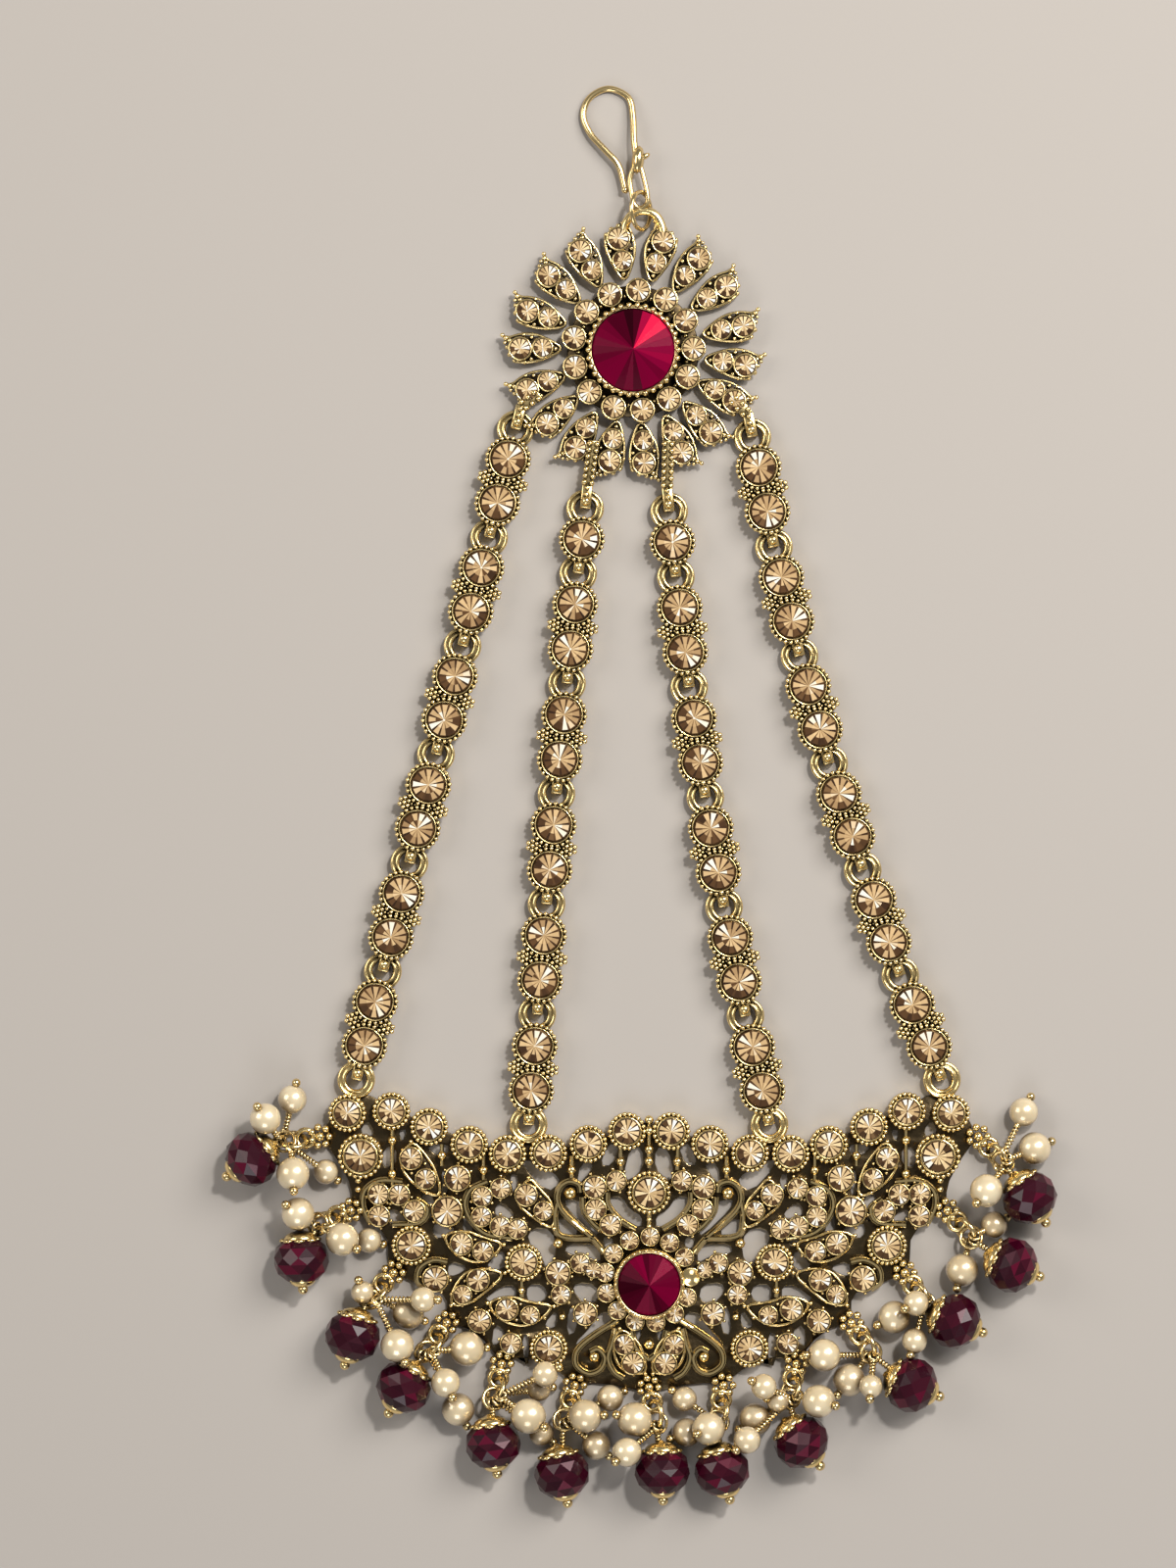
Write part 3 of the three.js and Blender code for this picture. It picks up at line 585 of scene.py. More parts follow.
link = {
    'count': 6, 'eyeToStone': 3.52, 'stoneSpacing': 5.06, 'singleShare': 0.59, 'stoneLevel': 2.22,
    'stoneRadius': 1.93, 'stoneTurn': 0.26, 'granules': 24, 'granuleRing': 2.38, 'granuleLevel': 2.02,
    'granule': 0.27, 'sideCluster': {'z': 1.95, 'around': 6, 'ring': 0.52, 'size': 0.3}, 'clusterAside': 2.15,
    'webGranules': [-1.35, -0.85, 0, 0.85, 1.35], 'webGranuleLevel': 1.75, 'webGranule': 0.25,
    # granules on a tongue: how far before its end, their level and their radius
    'tongueGranules': [(2.3, 1.95, 0.3), (1.65, 2.0, 0.36), (0.8, 1.9, 0.62)],
    'neckAt': 1.2, 'neck': [(0, -1.1, 0.62), (1.5, 1.1, 1.2)],
    'web': [(-0.9, -2.2, 0.3), (0.9, 2.2, 1.25), 0.2],
    'setting': [(2.3, 0.03), (2.45, 0.15), (2.5, 1.7), (2.42, 1.82), (2.14, 1.82), (2.13, 2.32),
                (2.05, 2.36), (1.95, 2.1)],
    'eye': [(2.0, 0.62), (2.12, 0.8), (2.12, 1.18), (1.98, 1.34), (1.84, 1.34), (1.74, 1.12),
            (1.6, 1.12), (1.5, 1.34), (1.32, 1.34), (1.14, 1.18), (1.14, 0.62), (2.0, 0.62)],
    'sides': 28,
}
tongue = {
    'length': 2.75, 'half': 0.6, 'post': 0.45, 'foot': 0.02, 'floorTop': 0.3, 'postTop': 1.7,
    'strapFoot': 1.5, 'strapTop': 1.95, 'strapEdge': 0.14,
}
strandRows = [
    {'eye': (-120, -80), 'root': (-96, -44), 'plateEye': (-299, 208), 'bow': 0, 'single': False},
    {'eye': (-49, -161), 'root': (-40, -92), 'plateEye': (-123, 162), 'bow': -0.004, 'single': True},
    {'eye': (37, -164), 'root': (36, -92), 'plateEye': (123, 162), 'bow': -0.017, 'single': True},
    {'eye': (122, -88), 'root': (100, -48), 'plateEye': (299, 208), 'bow': -0.028, 'single': False},
]


def strandEyes(row):
    # the links' eyes from the rosette to the plate, the strand bowed aside by a share of its length
    start, end = onRosette(*row['eye']), onPlate(*row['plateEye'])
    first = link['singleShare'] if row['single'] else 1
    length = first + link['count'] - 1
    along = end - start
    aside = Vector((-along.y, along.x))
    eyes = [start]
    for i in range(link['count']):
        share = (first + i) / length
        eyes.append(start + along * share + aside * (4 * row['bow'] * share * (1 - share)))
    return eyes


def linkSetting():
    return turnedForm('setting', link['setting'], link['sides'])


def eyeRing():
    return turnedForm('eyeRing', link['eye'], link['sides'], bored=True)


def tongueForm():
    # a closed loop that ends at the origin: two straps, one over the other, with a post at either end
    back, half, foot, post = -tongue['length'], tongue['half'], tongue['foot'], tongue['post']
    return joined('tongue', [
        bar('strap', (back, -half, tongue['strapFoot']), (0, half, tongue['strapTop']), tongue['strapEdge']),
        bar('back', (back, -half, foot), (back + post, half, tongue['postTop'])),
        bar('front', (-post, -half, foot), (0, half, tongue['postTop'])),
        bar('floorStrap', (back, -half, foot), (0, half, tongue['floorTop']))])


def tongueGranules(base, rows):
    return [base @ spot(-before, 0, level, 0, size) for before, level, size in rows]


for number, row in enumerate(strandRows, 1):
    eyes = strandEyes(row)
    settings, eyesOf, tongues, granules, necks, webs, stones = [], [], [], [], [], [], []
    for i, (eye, following) in enumerate(zip(eyes, eyes[1:])):
        along = following - eye
        base = spot(eye.x, eye.y, 0, math.atan2(along.y, along.x))
        end = base @ spot(along.length, 0)
        eyesOf.append(base)
        necks.append(base @ spot(link['neckAt'], 0))
        tongues.append(end)
        count = 1 if row['single'] and i == 0 else 2
        for k in range(count):
            x = link['eyeToStone'] + k * link['stoneSpacing']
            settings.append(base @ spot(x, 0))
            spin = link['stoneTurn'] * (i + 3 * k + number)
            stones.append(base @ spot(x, 0, link['stoneLevel'], spin, link['stoneRadius']))
            granules += [base @ one for one in milgrain(
                x, 0, link['granuleLevel'], link['granuleRing'], link['granules'], link['granule'])]
        if count == 2:
            x = link['eyeToStone'] + link['stoneSpacing'] / 2
            webs.append(base @ spot(x, 0))
            for side in (-1, 1):
                cluster = clusterBalls(x, side * link['clusterAside'], **link['sideCluster'])
                granules += [base @ one for one in cluster]
            granules += [base @ spot(x, y, link['webGranuleLevel'], 0, link['webGranule'])
                         for y in link['webGranules']]
        granules += tongueGranules(end, link['tongueGranules'])
    metal = joined(f'strand{number}Metal', [
        spread('settings', linkSetting(), settings), spread('eyes', eyeRing(), eyesOf),
        spread('necks', bar('neck', *link['neck']), necks), spread('tongues', tongueForm(), tongues),
        spread('granules', ball('granule'), granules), spread('webs', bar('web', *link['web']), webs)])
    shown(metal, antiqueGold, [f'strand_{number}_link_{k}' for k in range(1, 7)])
    shown(cutStones(f'strand{number}Stones', stones, number), champagne)
print("strands made")


# Rosette

rosette = {
    'petals': [97, 75, 55, 35, 13, -7, -26, -46, -64, -84, -102.5, -121, -140, -160, 178.5, 159, 138, 117.5],
    # a petal along +X: a rim open at its tip, a ground, two stones and a thorn of granules that bends
    # to one side, all in the rosette's steps
    'edge': [(121, -14), (106, -15), (88, -9.5), (70, 0), (86, 9.5), (102, 15), (117, 14), (127, 10),
             (134, 12)],
    'body': [(72, 0), (86, -8), (104, -13), (120, -12), (127, -5), (129, 6), (120, 12), (102, 13), (86, 8)],
    'petalStones': [(92.5, 0.5, 11), (115.5, -1, 12.5)],
    'granules': [(104, 11, 2.6), (104, -11, 2.6), (79.5, 0, 2.6), (126.5, 7, 3.2), (130.5, 9.5, 3),
                 (134, 12.5, 2.5), (128.5, 0.5, 2.7), (126, -7, 2.7), (121, -13, 2.4), (110, -14.5, 2.3),
                 (112, 13.5, 2.4), (85, 7, 2), (85, -7, 2), (131, 5, 2.2)],
    'bodyFoot': 0.02, 'bodyTop': 1.2, 'topRim': {'level': 1.42, 'radius': 0.16},
    'footRim': {'level': 0.75, 'radius': 0.13}, 'granuleLevel': 1.4,
    # a collet's foot and height, and the level of its stone
    'petalCollet': (0.7, 1.15, 1.84), 'ringCollet': (0.6, 1.5, 2.1),
    # the ring round the ruby, its reaches and stones in the same steps as the petal
    'ringCount': 13, 'ringReach': 61.5, 'ringStart': 85, 'ringStone': 13,
    'betweenReach': 56, 'betweenLevel': 1.5, 'betweenGranule': 0.3,
    'rubyRadius': 4.6, 'rubyTop': 4.55, 'bezelFoot': 1.0, 'bezelTop': 2.75,
    'bezelTeeth': 34, 'toothLevel': 2.78, 'toothOut': 0.42, 'tooth': 0.34,
    'tongueGranules': [(2.3, 1.98, 0.32), (1.55, 2.0, 0.36), (0.8, 1.9, 0.6)],
    'stem': [(0, -0.62, 0.02), (1, 0.62, 1.9), 0.03], 'stemEnd': 2.5,
    'stemGrain': {'pitch': 0.72, 'aside': 0.42, 'level': 2.0, 'size': 0.34},
    # the wire of the top loop, in the same steps
    'loop': [(-9, 112), (-9.5, 124), (-5, 136), (4, 143), (17, 143), (26, 136), (30.5, 124), (30, 112)],
    'loopLevel': 1.5, 'loopWire': 0.5,
    'hub': [(7.3, 0.02), (7.4, 0.12), (7.4, 0.5), (7.3, 0.6)], 'hubSides': 64,
    # paintedFacetLight: the tone of each sector of the ruby, counterclockwise from +X, a painted highlight
    # towards the window lamp and painted shade elsewhere
    'paintedFacetLight': [0.6, 0.66, 0.72, 0.98, 0.72, 0.2, 0.03, 0.06, 0.28, 0.42, 0.48, 0.38, 0.46, 0.4, 0.5, 0.42,
             0.52, 0.36, 0.44, 0.3, 0.42, 0.52, 0.44, 0.58, 0.5, 0.66],
}
collet = {
    # the form is of unit radius and unit height, with a thin bright lip; the shares are of a stone's size
    'profile': [(1.02, 0.0), (1.16, 0.08), (1.14, 0.8), (1.2, 0.9), (1.18, 1.02), (1.08, 1.06), (0.98, 0.95)],
    'sides': 16, 'lip': 1.2, 'share': 0.84, 'stoneShare': 0.88,
}
ruby = {'foot': 1.55, 'footShare': 0.8, 'girdle': 2.6, 'shoulder': 2.65, 'shoulderShare': 0.98,
        'tipShare': 0.02, 'sides': 26}


def bezelForm(radius, foot, top):
    return turnedForm('bezel', [
        (radius + 0.62, foot), (radius + 0.55, top - 0.7), (radius + 0.42, top), (radius + 0.12, top + 0.12),
        (radius + 0.05, top - 0.1), (radius + 0.05, foot), (radius + 0.62, foot)], 48, bored=True)


def colletForm():
    return turnedForm('collet', collet['profile'], collet['sides'])


def setCollet(base, x, y, size, levels, spin, stoneShare=collet['stoneShare']):
    # a collet and the stone in it, or an empty one without a spin, for the lists of the piece being made
    foot, height, level = levels
    reach = size * collet['share']
    settings.append(base @ spot(x, y, foot, 0, (reach, reach, height)))
    if spin is not None:
        stones.append(base @ spot(x, y, level, spin, size * stoneShare))


def placedRuby(name, middle, radius, top, paintedFacetLight, node):
    # long facets run from dark to bright round the stone, with a few sharp steps: a painted highlight on the
    # facets towards the window lamp and painted shade on the rest
    form = turnedForm('rubyForm', [
        (radius * ruby['footShare'], ruby['foot']), (radius, ruby['girdle']),
        (radius * ruby['shoulderShare'], ruby['shoulder']), (radius * ruby['tipShare'], top)],
        ruby['sides'], smooth=False)
    piece = spread(name, form, [spot(middle.x, middle.y)])
    outward = [face.center.xy - middle.xy * mm for face in piece.data.polygons]
    giveTones(piece, [paintedFacetLight[sectorOf(math.atan2(out.y, out.x), len(paintedFacetLight)) % len(paintedFacetLight)] for out in outward])
    return shown(piece, rubyCrystal, [node])


def petalLine(points, bend):
    return [(x * rosetteStep, y * bend * rosetteStep) for x, y in points]


def petalGround(bend):
    body = petalLine(softened(rosette['body'], 1), bend)
    return flatSheet('petalGround', [body], rosette['bodyFoot'], rosette['bodyTop'])


def petalRim(bend):
    edge = petalLine(softened(rosette['edge'], closed=False), bend)
    return joined('petalRim', [wires('rimWire', [[(x, y, rim['level']) for x, y in edge]], rim['radius'])
                               for rim in (rosette['topRim'], rosette['footRim'])])


petalPlaces, settings, stones, granules = {1: [], -1: []}, [], [], []
for angle in rosette['petals']:
    # tips bend up towards the hook, to the left on the right half and to the right on the left half
    bend = 1 if -90 < angle < 90 else -1
    base = spot(rosetteMiddle.x, rosetteMiddle.y, 0, math.radians(angle))
    petalPlaces[bend].append(base)
    for reach, aside, radius in rosette['petalStones']:
        setCollet(base, reach * rosetteStep, aside * bend * rosetteStep, radius * rosetteStep,
                  rosette['petalCollet'], angle)
    for reach, aside, size in rosette['granules']:
        granules.append(base @ spot(reach * rosetteStep, aside * bend * rosetteStep, rosette['granuleLevel'],
                                    0, size * rosetteStep))
for k in range(rosette['ringCount']):
    angle = math.radians(rosette['ringStart'] + k * 360 / rosette['ringCount'])
    reach = rosette['ringReach'] * rosetteStep
    x, y = rosetteMiddle.x + reach * math.cos(angle), rosetteMiddle.y + reach * math.sin(angle)
    setCollet(Matrix(), x, y, rosette['ringStone'] * rosetteStep, rosette['ringCollet'], angle)
between = math.radians(rosette['ringStart'] + 180 / rosette['ringCount'])
granules += milgrain(
    rosetteMiddle.x, rosetteMiddle.y, rosette['betweenLevel'], rosette['betweenReach'] * rosetteStep,
    rosette['ringCount'], rosette['betweenGranule'], between)
granules += milgrain(
    rosetteMiddle.x, rosetteMiddle.y, rosette['toothLevel'], rosette['rubyRadius'] + rosette['toothOut'],
    rosette['bezelTeeth'], rosette['tooth'])

tongues, stems = [], []
grain = rosette['stemGrain']
for row in strandRows:
    eyes = strandEyes(row)
    along = eyes[1] - eyes[0]
    base = spot(eyes[0].x, eyes[0].y, 0, math.atan2(along.y, along.x))
    tongues.append(base)
    granules += tongueGranules(base, rosette['tongueGranules'])
    root = onRosette(*row['root'])
    way = eyes[0] - along.normalized() * rosette['stemEnd'] - root
    stems.append(spot(root.x, root.y, 0, math.atan2(way.y, way.x), (way.length, 1, 1)))
    across = Vector((-way.y, way.x)).normalized()
    rows = int(way.length / grain['pitch'])
    for k in range(rows):
        middle = root + way * ((k + 0.5) / rows)
        for side in (-grain['aside'], grain['aside']):
            granules.append(spot(*(middle + across * side), grain['level'], 0, grain['size']))
loopRoute = [(*onRosette(u, v), rosette['loopLevel']) for u, v in softened(rosette['loop'], closed=False)]
loop = wires('topLoop', [loopRoute], rosette['loopWire'], roundness=3)
hub = turnedForm('hub', rosette['hub'], rosette['hubSides'])
# the hub and the petals' grounds are low, near-black sheets: painted shade for the shadowed openwork
rosetteGround = joined('rosetteGround', [
    spread('rosetteHub', hub, [spot(rosetteMiddle.x, rosetteMiddle.y)]),
    spread('groundsRight', petalGround(1), petalPlaces[1]),
    spread('groundsLeft', petalGround(-1), petalPlaces[-1])])
shown(rosetteGround, paintedShadeGold, ['rosette'])
bezel = bezelForm(rosette['rubyRadius'], rosette['bezelFoot'], rosette['bezelTop'])
rosetteMetal = joined('rosetteMetal', [
    loop, spread('rimsRight', petalRim(1), petalPlaces[1]), spread('rimsLeft', petalRim(-1), petalPlaces[-1]),
    spread('rosetteSettings', colletForm(), settings),
    spread('rosetteBezel', bezel, [spot(rosetteMiddle.x, rosetteMiddle.y)]),
    spread('rosetteTongues', tongueForm(), tongues), spread('stems', bar('stem', *rosette['stem']), stems),
    spread('rosetteGranules', ball('granule'), granules)])
shown(rosetteMetal, antiqueGold, ['rosette'])
shown(cutStones('rosetteStones', stones, 11), paleChampagne)
placedRuby('rosetteRuby', rosetteMiddle, rosette['rubyRadius'], rosette['rubyTop'], rosette['paintedFacetLight'],
           'rosette_ruby')
print("rosette made")


# Hook and its ring

hook = {
    'route': [(4, 193, 1.75), (1, 215, 1.4), (0, 240, 0.9), (-5, 260, 0.5), (-25, 269, 0.4), (-44, 260, 0.4),
              (-51, 242, 0.5), (-44, 223, 0.7), (-29, 206, 0.9), (-15, 190, 1.0), (-8, 165, 1.0)],
    'eye': [(2.5, 192), (-3, 176), (-1.5, 160), (1, 150), (7, 145.5), (14, 150), (14.5, 160), (10.5, 178),
            (6.5, 192)],
    'wire': 0.37, 'eyeWire': 0.28, 'eyeLevel': 1.75, 'tip': 0.45,
    'lump': [(0.35, -0.8), (0.7, -0.55), (0.85, -0.1), (0.8, 0.3), (0.5, 0.7), (0.2, 0.85)], 'lumpSides': 10,
    'lumpAt': (5, 195), 'lumpTurn': -0.1, 'lumpSize': (0.85, 1.9, 0.95),
    'burrAside': (0.75, 0.35), 'burrLevel': 1.85, 'burrTurn': 0.5, 'burrSize': (0.8, 0.4, 0.45),
    'ringAt': (8, 142.5), 'ringLevel': 2.1, 'ringTilt': 31, 'ringRadius': 2.1, 'ringWire': 0.26,
}


def hookPoint(u, v, z):
    flat = onRosette(u, v)
    return (flat.x, flat.y, z)


hookWire = wires('hookWire', [smoothRoute([hookPoint(*p) for p in hook['route']])], hook['wire'], roundness=3)
eyeRoute = smoothRoute([hookPoint(u, v, hook['eyeLevel']) for u, v in hook['eye']])
hookEye = wires('hookEyeWire', [eyeRoute], hook['eyeWire'], roundness=3)
x, y = onRosette(*hook['lumpAt'])
burrX, burrY = hook['burrAside']
lumps = spread('lumps', turnedForm('lump', hook['lump'], hook['lumpSides']), [
    spot(x, y, hook['eyeLevel'], hook['lumpTurn'], hook['lumpSize']),
    spot(x + burrX, y + burrY, hook['burrLevel'], hook['burrTurn'], hook['burrSize'])])
tip = spread('hookTip', ball('tipBall', 12, 8), [spot(*hookPoint(*hook['route'][-1]), 0, hook['tip'])])
shown(joined('hairHook', [hookWire, hookEye, lumps, tip]), paleWire, ['hair_hook'])
x, y = onRosette(*hook['ringAt'])
turned = Euler((0, math.radians(90 - hook['ringTilt']), 0)).to_matrix().to_4x4()
hookRing = spread('hookRing', ringWire('hookRingForm', hook['ringRadius'], hook['ringWire'], 28, 10),
                  [spot(x, y, hook['ringLevel']) @ turned])
shown(hookRing, paleWire, ['hook_ring'])
print("hook made")


# Crescent plate: one half, charted in steps from the plate ruby

plate = {
    'outline': [
        (0, 166), (22, 157), (62, 143), (103, 135), (112, 150), (134, 150), (144, 135), (183, 144),
        (224, 162), (263, 178), (288, 194), (312, 194), (336, 150), (316, 122), (304, 98), (304.5, 74.5),
        (268, 54), (266, 12), (226, -6), (207, -12), (206.5, -40), (176, -50), (150.5, -82), (130, -76),
        (102, -84), (76, -104), (50, -102), (0, -112)],
    'gaps': [
        [(7, 138), (19, 138), (26, 110), (20, 104), (6, 117)],
        [(30, 140), (42, 142), (50, 120), (38, 120)], [(57, 122), (70, 122), (74, 98), (60, 114)],
        [(98, 113), (127, 127), (129, 119), (104, 92), (90, 103)], [(133, 110), (143, 111), (137, 86)],
        [(138, 72), (150, 82), (157, 78), (157, 68), (140, 65)],
        [(28, 88), (41, 87), (43, 78), (36, 64), (8, 55), (7, 68), (19, 74)],
        [(67, 82), (86, 86), (84, 76), (55, 48), (50, 52), (66, 66)], [(92, 70), (94, 48), (68, 48)],
        [(38, 47), (48, 47), (44, 34), (36, 38)],
        [(50, 32), (57, 39), (83, 40), (86, 30), (62, 27), (50, 20)],
        [(99, 54), (119, 56), (125, 44), (109, 26), (105, 14), (94, 30)],
        [(142, 48), (172, 55), (175, 48), (162, 39), (145, 37)],
        [(147, 30), (154, 32), (168, 14), (148, 13)],
        [(54, -2), (74, 0), (78, -8), (66, -22), (51, -18)],
        [(38, -30), (52, -32), (60, -46), (76, -62), (70, -64), (36, -42)],
        [(74, -24), (82, -26), (84, -54), (74, -50)], [(94, -27), (107, -42), (102, -47), (94, -44)],
        [(108, -2), (124, -2), (125, -16), (118, -24), (103, -14)],
        [(136, -3), (150, -3), (172, -20), (136, -18)], [(182, 62), (190, 72), (190, 50), (180, 50)],
        [(194, 54), (218, 62), (222, 52), (214, 44)], [(219, 90), (234, 91), (230, 66), (222, 62)],
        [(252, 70), (264, 76), (267, 67), (259, 56), (249, 63)],
        [(258, 138), (271, 138), (273, 118), (259, 120)], [(247, 157), (256, 155), (252, 143)],
        [(281, 156), (288, 166), (296, 154), (284, 148)],
        [(204, 142), (228, 140), (218, 130), (206, 131)], [(205, 114), (212, 116), (212, 90), (206, 90)],
        [(184, 16), (204, 22), (206, 8), (198, 7)], [(146, -50), (158, -42), (161, -66), (152, -60)],
        [(122, -50), (131, -54), (128, -84), (122, -82)], [(6, -48), (16, -48), (12, -62)]],
    # collets: a place and the radius over the metal, in the plate's steps like all of this chart
    'topRow': [
        (22.5, 155.5), (62, 142.5), (103, 133), (144.5, 132.5), (183.5, 142), (224.5, 160), (263, 176),
        (308, 174)],
    'large': [
        (294.5, 130, 22), (128, 22, 18), (102.5, -66, 18), (242.5, 39, 19), (0, 93, 21)],
    'small': [
        (195.5, 107.5, 11), (206, 74, 13), (65, -30.5, 10), (173, -38, 10), (218, 5, 11), (141, -61, 9),
        (151.5, 97.5, 10.5), (170.5, 89, 10.5), (171, 68.5, 10.5), (152, 58.5, 10.5), (134.5, 56, 10.5),
        (70.5, 21, 10), (93, 11, 13), (90, -11, 10), (57, 14, 8), (276, 91.5, 11), (255, 91, 11),
        (239.5, 74, 11), (275.5, 69, 11), (55.5, 98.5, 12), (33.5, 105, 9), (54.5, 76, 11),
        (39.5, 60, 11)],
    # leaves: two tips and the stones between them
    'leaves': [
        [(243, 145), (243, 128, 12), (228, 107, 11), (213, 88)],
        [(123, 108), (125.5, 90.7, 12), (108, 74.6, 10), (97, 56)],
        [(148, 40), (169.5, 33, 11), (191.5, 41, 12), (210, 49)],
        [(147, 11), (174.5, 4, 12), (190.5, -11, 10), (202, -22)],
        [(165, -20), (145, -26, 12), (121.5, -32, 10), (97, -23)],
        [(30, -46), (25.5, -62, 11), (16.5, -81, 12), (4, -92)]],
    'scrolls': [
        [(43, 93), (42, 80), (30, 65), (14, 55)], [(68, 88), (66, 73), (56, 60), (48, 54)],
        [(70, 93), (72, 101), (82, 104), (91, 98), (94, 86), (88, 73), (72, 58), (56, 44), (46, 31)],
        [(94, 82), (96, 65), (90, 48), (56, 46)],
        [(32, -38), (52, -50), (68, -62), (75, -72), (74, -84), (62, -92), (50, -88), (45, -76),
         (52, -67), (60, -70)],
        [(18, -48), (13, -66), (0, -78)], [(34, -46), (38, -62), (42, -76), (36, -90), (26, -97)],
        [(165, 104), (182, 96), (188, 80), (180, 62), (165, 50), (140, 46)],
        [(252, 104), (275, 105), (290, 95), (292, 78), (284, 62)],
        [(238, 86), (226, 76), (234, 62), (262, 60)],
        [(206, 22), (220, 24), (234, 16), (236, 2), (226, -6)]],
    'posts': [
        [(29, 142), (29, 116)], [(79, 130), (79, 108)], [(169, 130), (169, 106)],
        [(211.5, 142), (211.5, 120)], [(0, 167), (0, 118)], [(262, 164), (262, 100)],
        [(130, 4), (130, -14)], [(0, 76), (0, 54)]],
    'balls': [
        (211.5, 130.5, 5), (169, 115.6, 5), (79, 116, 5), (29, 124.5, 5), (80.5, 92, 7), (262, 146, 5),
        (262, 112, 5), (297, 105, 3.5), (297, 96, 3.5), (88.5, -34, 4), (130, -7, 4), (93, 41, 5.5),
        (56, -75, 6), (0, -62, 6), (0, 167, 5), (0, 156, 5), (0, 137, 5), (0, 125, 5), (0, 72, 3),
        (0, 65, 3), (0, 58, 3)],
    'bosses': [
        (-336, 150), (-304.5, 74.5), (-261, 11), (-206.5, -40), (-150.5, -82), (-76, -104), (0, -106),
        (76, -104), (150.5, -82), (206.5, -40), (261, 11), (304.5, 74.5), (336, 150)],
    # the ring round the ruby: its middle, its reach and the radius of its stones
    'rubyRing': (-1.5, 4, 44, 10), 'ringCount': 13, 'ringStart': 87, 'lostStone': 3, 'rubyRadius': 3.45,
}
relief = {
    # margins, bandHalf, more, gap and out are in the plate's steps
    # the sheet and the leaves' grounds
    'sheetFoot': 0.02, 'sheetTop': 0.6, 'sheetEdge': 0.12, 'leafMargin': 2.0, 'leafFoot': 0.1, 'leafTop': 1.3,
    'leafTip': 0.12,
    # wires: leaf rims, flat bands with two rims and a core, and posts
    'rimMargin': 2.6, 'rimLevel': 1.5, 'rimWire': 0.17, 'bandHalf': 2.5, 'bandLevel': 1.0, 'bandWire': 0.13,
    'coreLevel': 1.5, 'coreWire': 0.24, 'postLevel': 1.4, 'postWire': 0.24, 'bandSteps': 4,
    # a stone's collet, narrower where it stands on a base inside a ring of granules
    'basedShare': 0.83, 'colletFoot': 0.02, 'colletHeight': 1.88, 'stoneLevel': 1.95, 'stoneShare': 0.89,
    'baseShare': 0.94, 'base': [(1.0, 0.02), (1.08, 0.2), (1.06, 1.4), (1.0, 1.55)], 'baseSides': 24,
    'milgrainLevel': 1.68, 'milgrain': 0.275,
    # how far each kind of stone is raised, its count of granules, the steps added to its charted
    # radius, and the turn from one stone to the next
    'topRow': {'radius': 18.5, 'count': 22, 'level': 0.05, 'turnEach': 0.7},
    'large': {'more': 0.5, 'count': 24, 'level': 0.15, 'turnEach': 0.9},
    'small': {'more': 0.6, 'growth': 1.22, 'gap': 0.5, 'turnEach': 1.1},
    'leaf': {'more': 0.3, 'level': 0.15, 'turnEach': 0.8},
    'smallGranules': {'count': 6, 'out': 1.8, 'level': 1.45, 'size': 0.2},
    'tip': {'level': 1.6, 'size': 0.26}, 'pair': {'level': 1.5, 'size': 0.22, 'aside': 0.9},
    'ballLevel': 1.4, 'boss': {'z': 1.25, 'around': 7, 'ring': 1.04, 'size': 0.47}, 'bossTop': (1.4, 0.56),
    'ringCollet': (0.3, 1.6, 1.9), 'ringStoneShare': 0.9,
    'rubyTop': 4.25, 'bezelFoot': 0.9, 'bezelTop': 2.75,
    'teeth': 34, 'toothLevel': 2.95, 'toothOut': 0.33, 'tooth': 0.2,
    # paintedFacetLight: the tone of each sector of the plate ruby, counterclockwise from +X, a painted
    # highlight towards the window lamp and painted shade elsewhere
    'paintedFacetLight': [0.42, 0.4, 0.5, 0.62, 0.75, 0.4, 0.3, 0.36, 0.55, 0.5, 0.35, 0.3, 0.25, 0.1, 0.22, 0.35, 0.3,
             0.4, 0.5, 0.42, 0.3, 0.25, 0.32, 0.5, 0.56, 0.48],
}


def bothSides(rows):
    # each row and its mirror image across the plate's middle
    return [one for row in rows for one in ([row] if row[0] == 0 else [row, (-row[0], *row[1:])])]


def mirroredLoops(loops):
    return loops + [[(-u, v, *rest) for u, v, *rest in reversed(loop)] for loop in loops]


def laidLoop(loop, z=None):
    places = [onPlate(point[0], point[1]) for point in loop]
    return [(p.x, p.y) if z is None else (p.x, p.y, z) for p in places]


def leafEdge(leaf, margin):
    # the leaf's outline runs round its stones from tip to tip
    spine = [Vector(point[:2]) for point in leaf]
    left, right = [], []
    for before, (u, v, radius), after in zip(spine, leaf[1:-1], spine[2:]):
        along = (after - before).normalized()
        across = Vector((-along.y, along.x)) * (radius + margin)
        left.append(Vector((u, v)) + across)
        right.append(Vector((u, v)) - across)
    first = spine[0] + (spine[0] - spine[1]) * relief['leafTip']
    last = spine[-1] + (spine[-1] - spine[-2]) * relief['leafTip']
    return softened([tuple(p) for p in [first] + left + [last] + right[::-1]])


def bandRoute(line):
    return smoothRoute([(*one, 0) for one in line], relief['bandSteps'])


def bandSides(line):
    # the two edges of a flat band
    points = [Vector(point[:2]) for point in bandRoute(line)]
    sides = []
    for side in (-relief['bandHalf'], relief['bandHalf']):
        route = []
        for k, point in enumerate(points):
            along = points[min(k + 1, len(points) - 1)] - points[max(k - 1, 0)]
            route.append(point + Vector((-along.y, along.x)).normalized() * side)
        sides.append(laidLoop(route, relief['bandLevel']))
    return sides


half = plate['outline']
outline = half + [(-u, v) for u, v in reversed(half[1:-1])]
openings = [softened(gap, 1) for gap in mirroredLoops(plate['gaps'])]
leaves = mirroredLoops(plate['leaves'])
bandLines = mirroredLoops(plate['scrolls'])
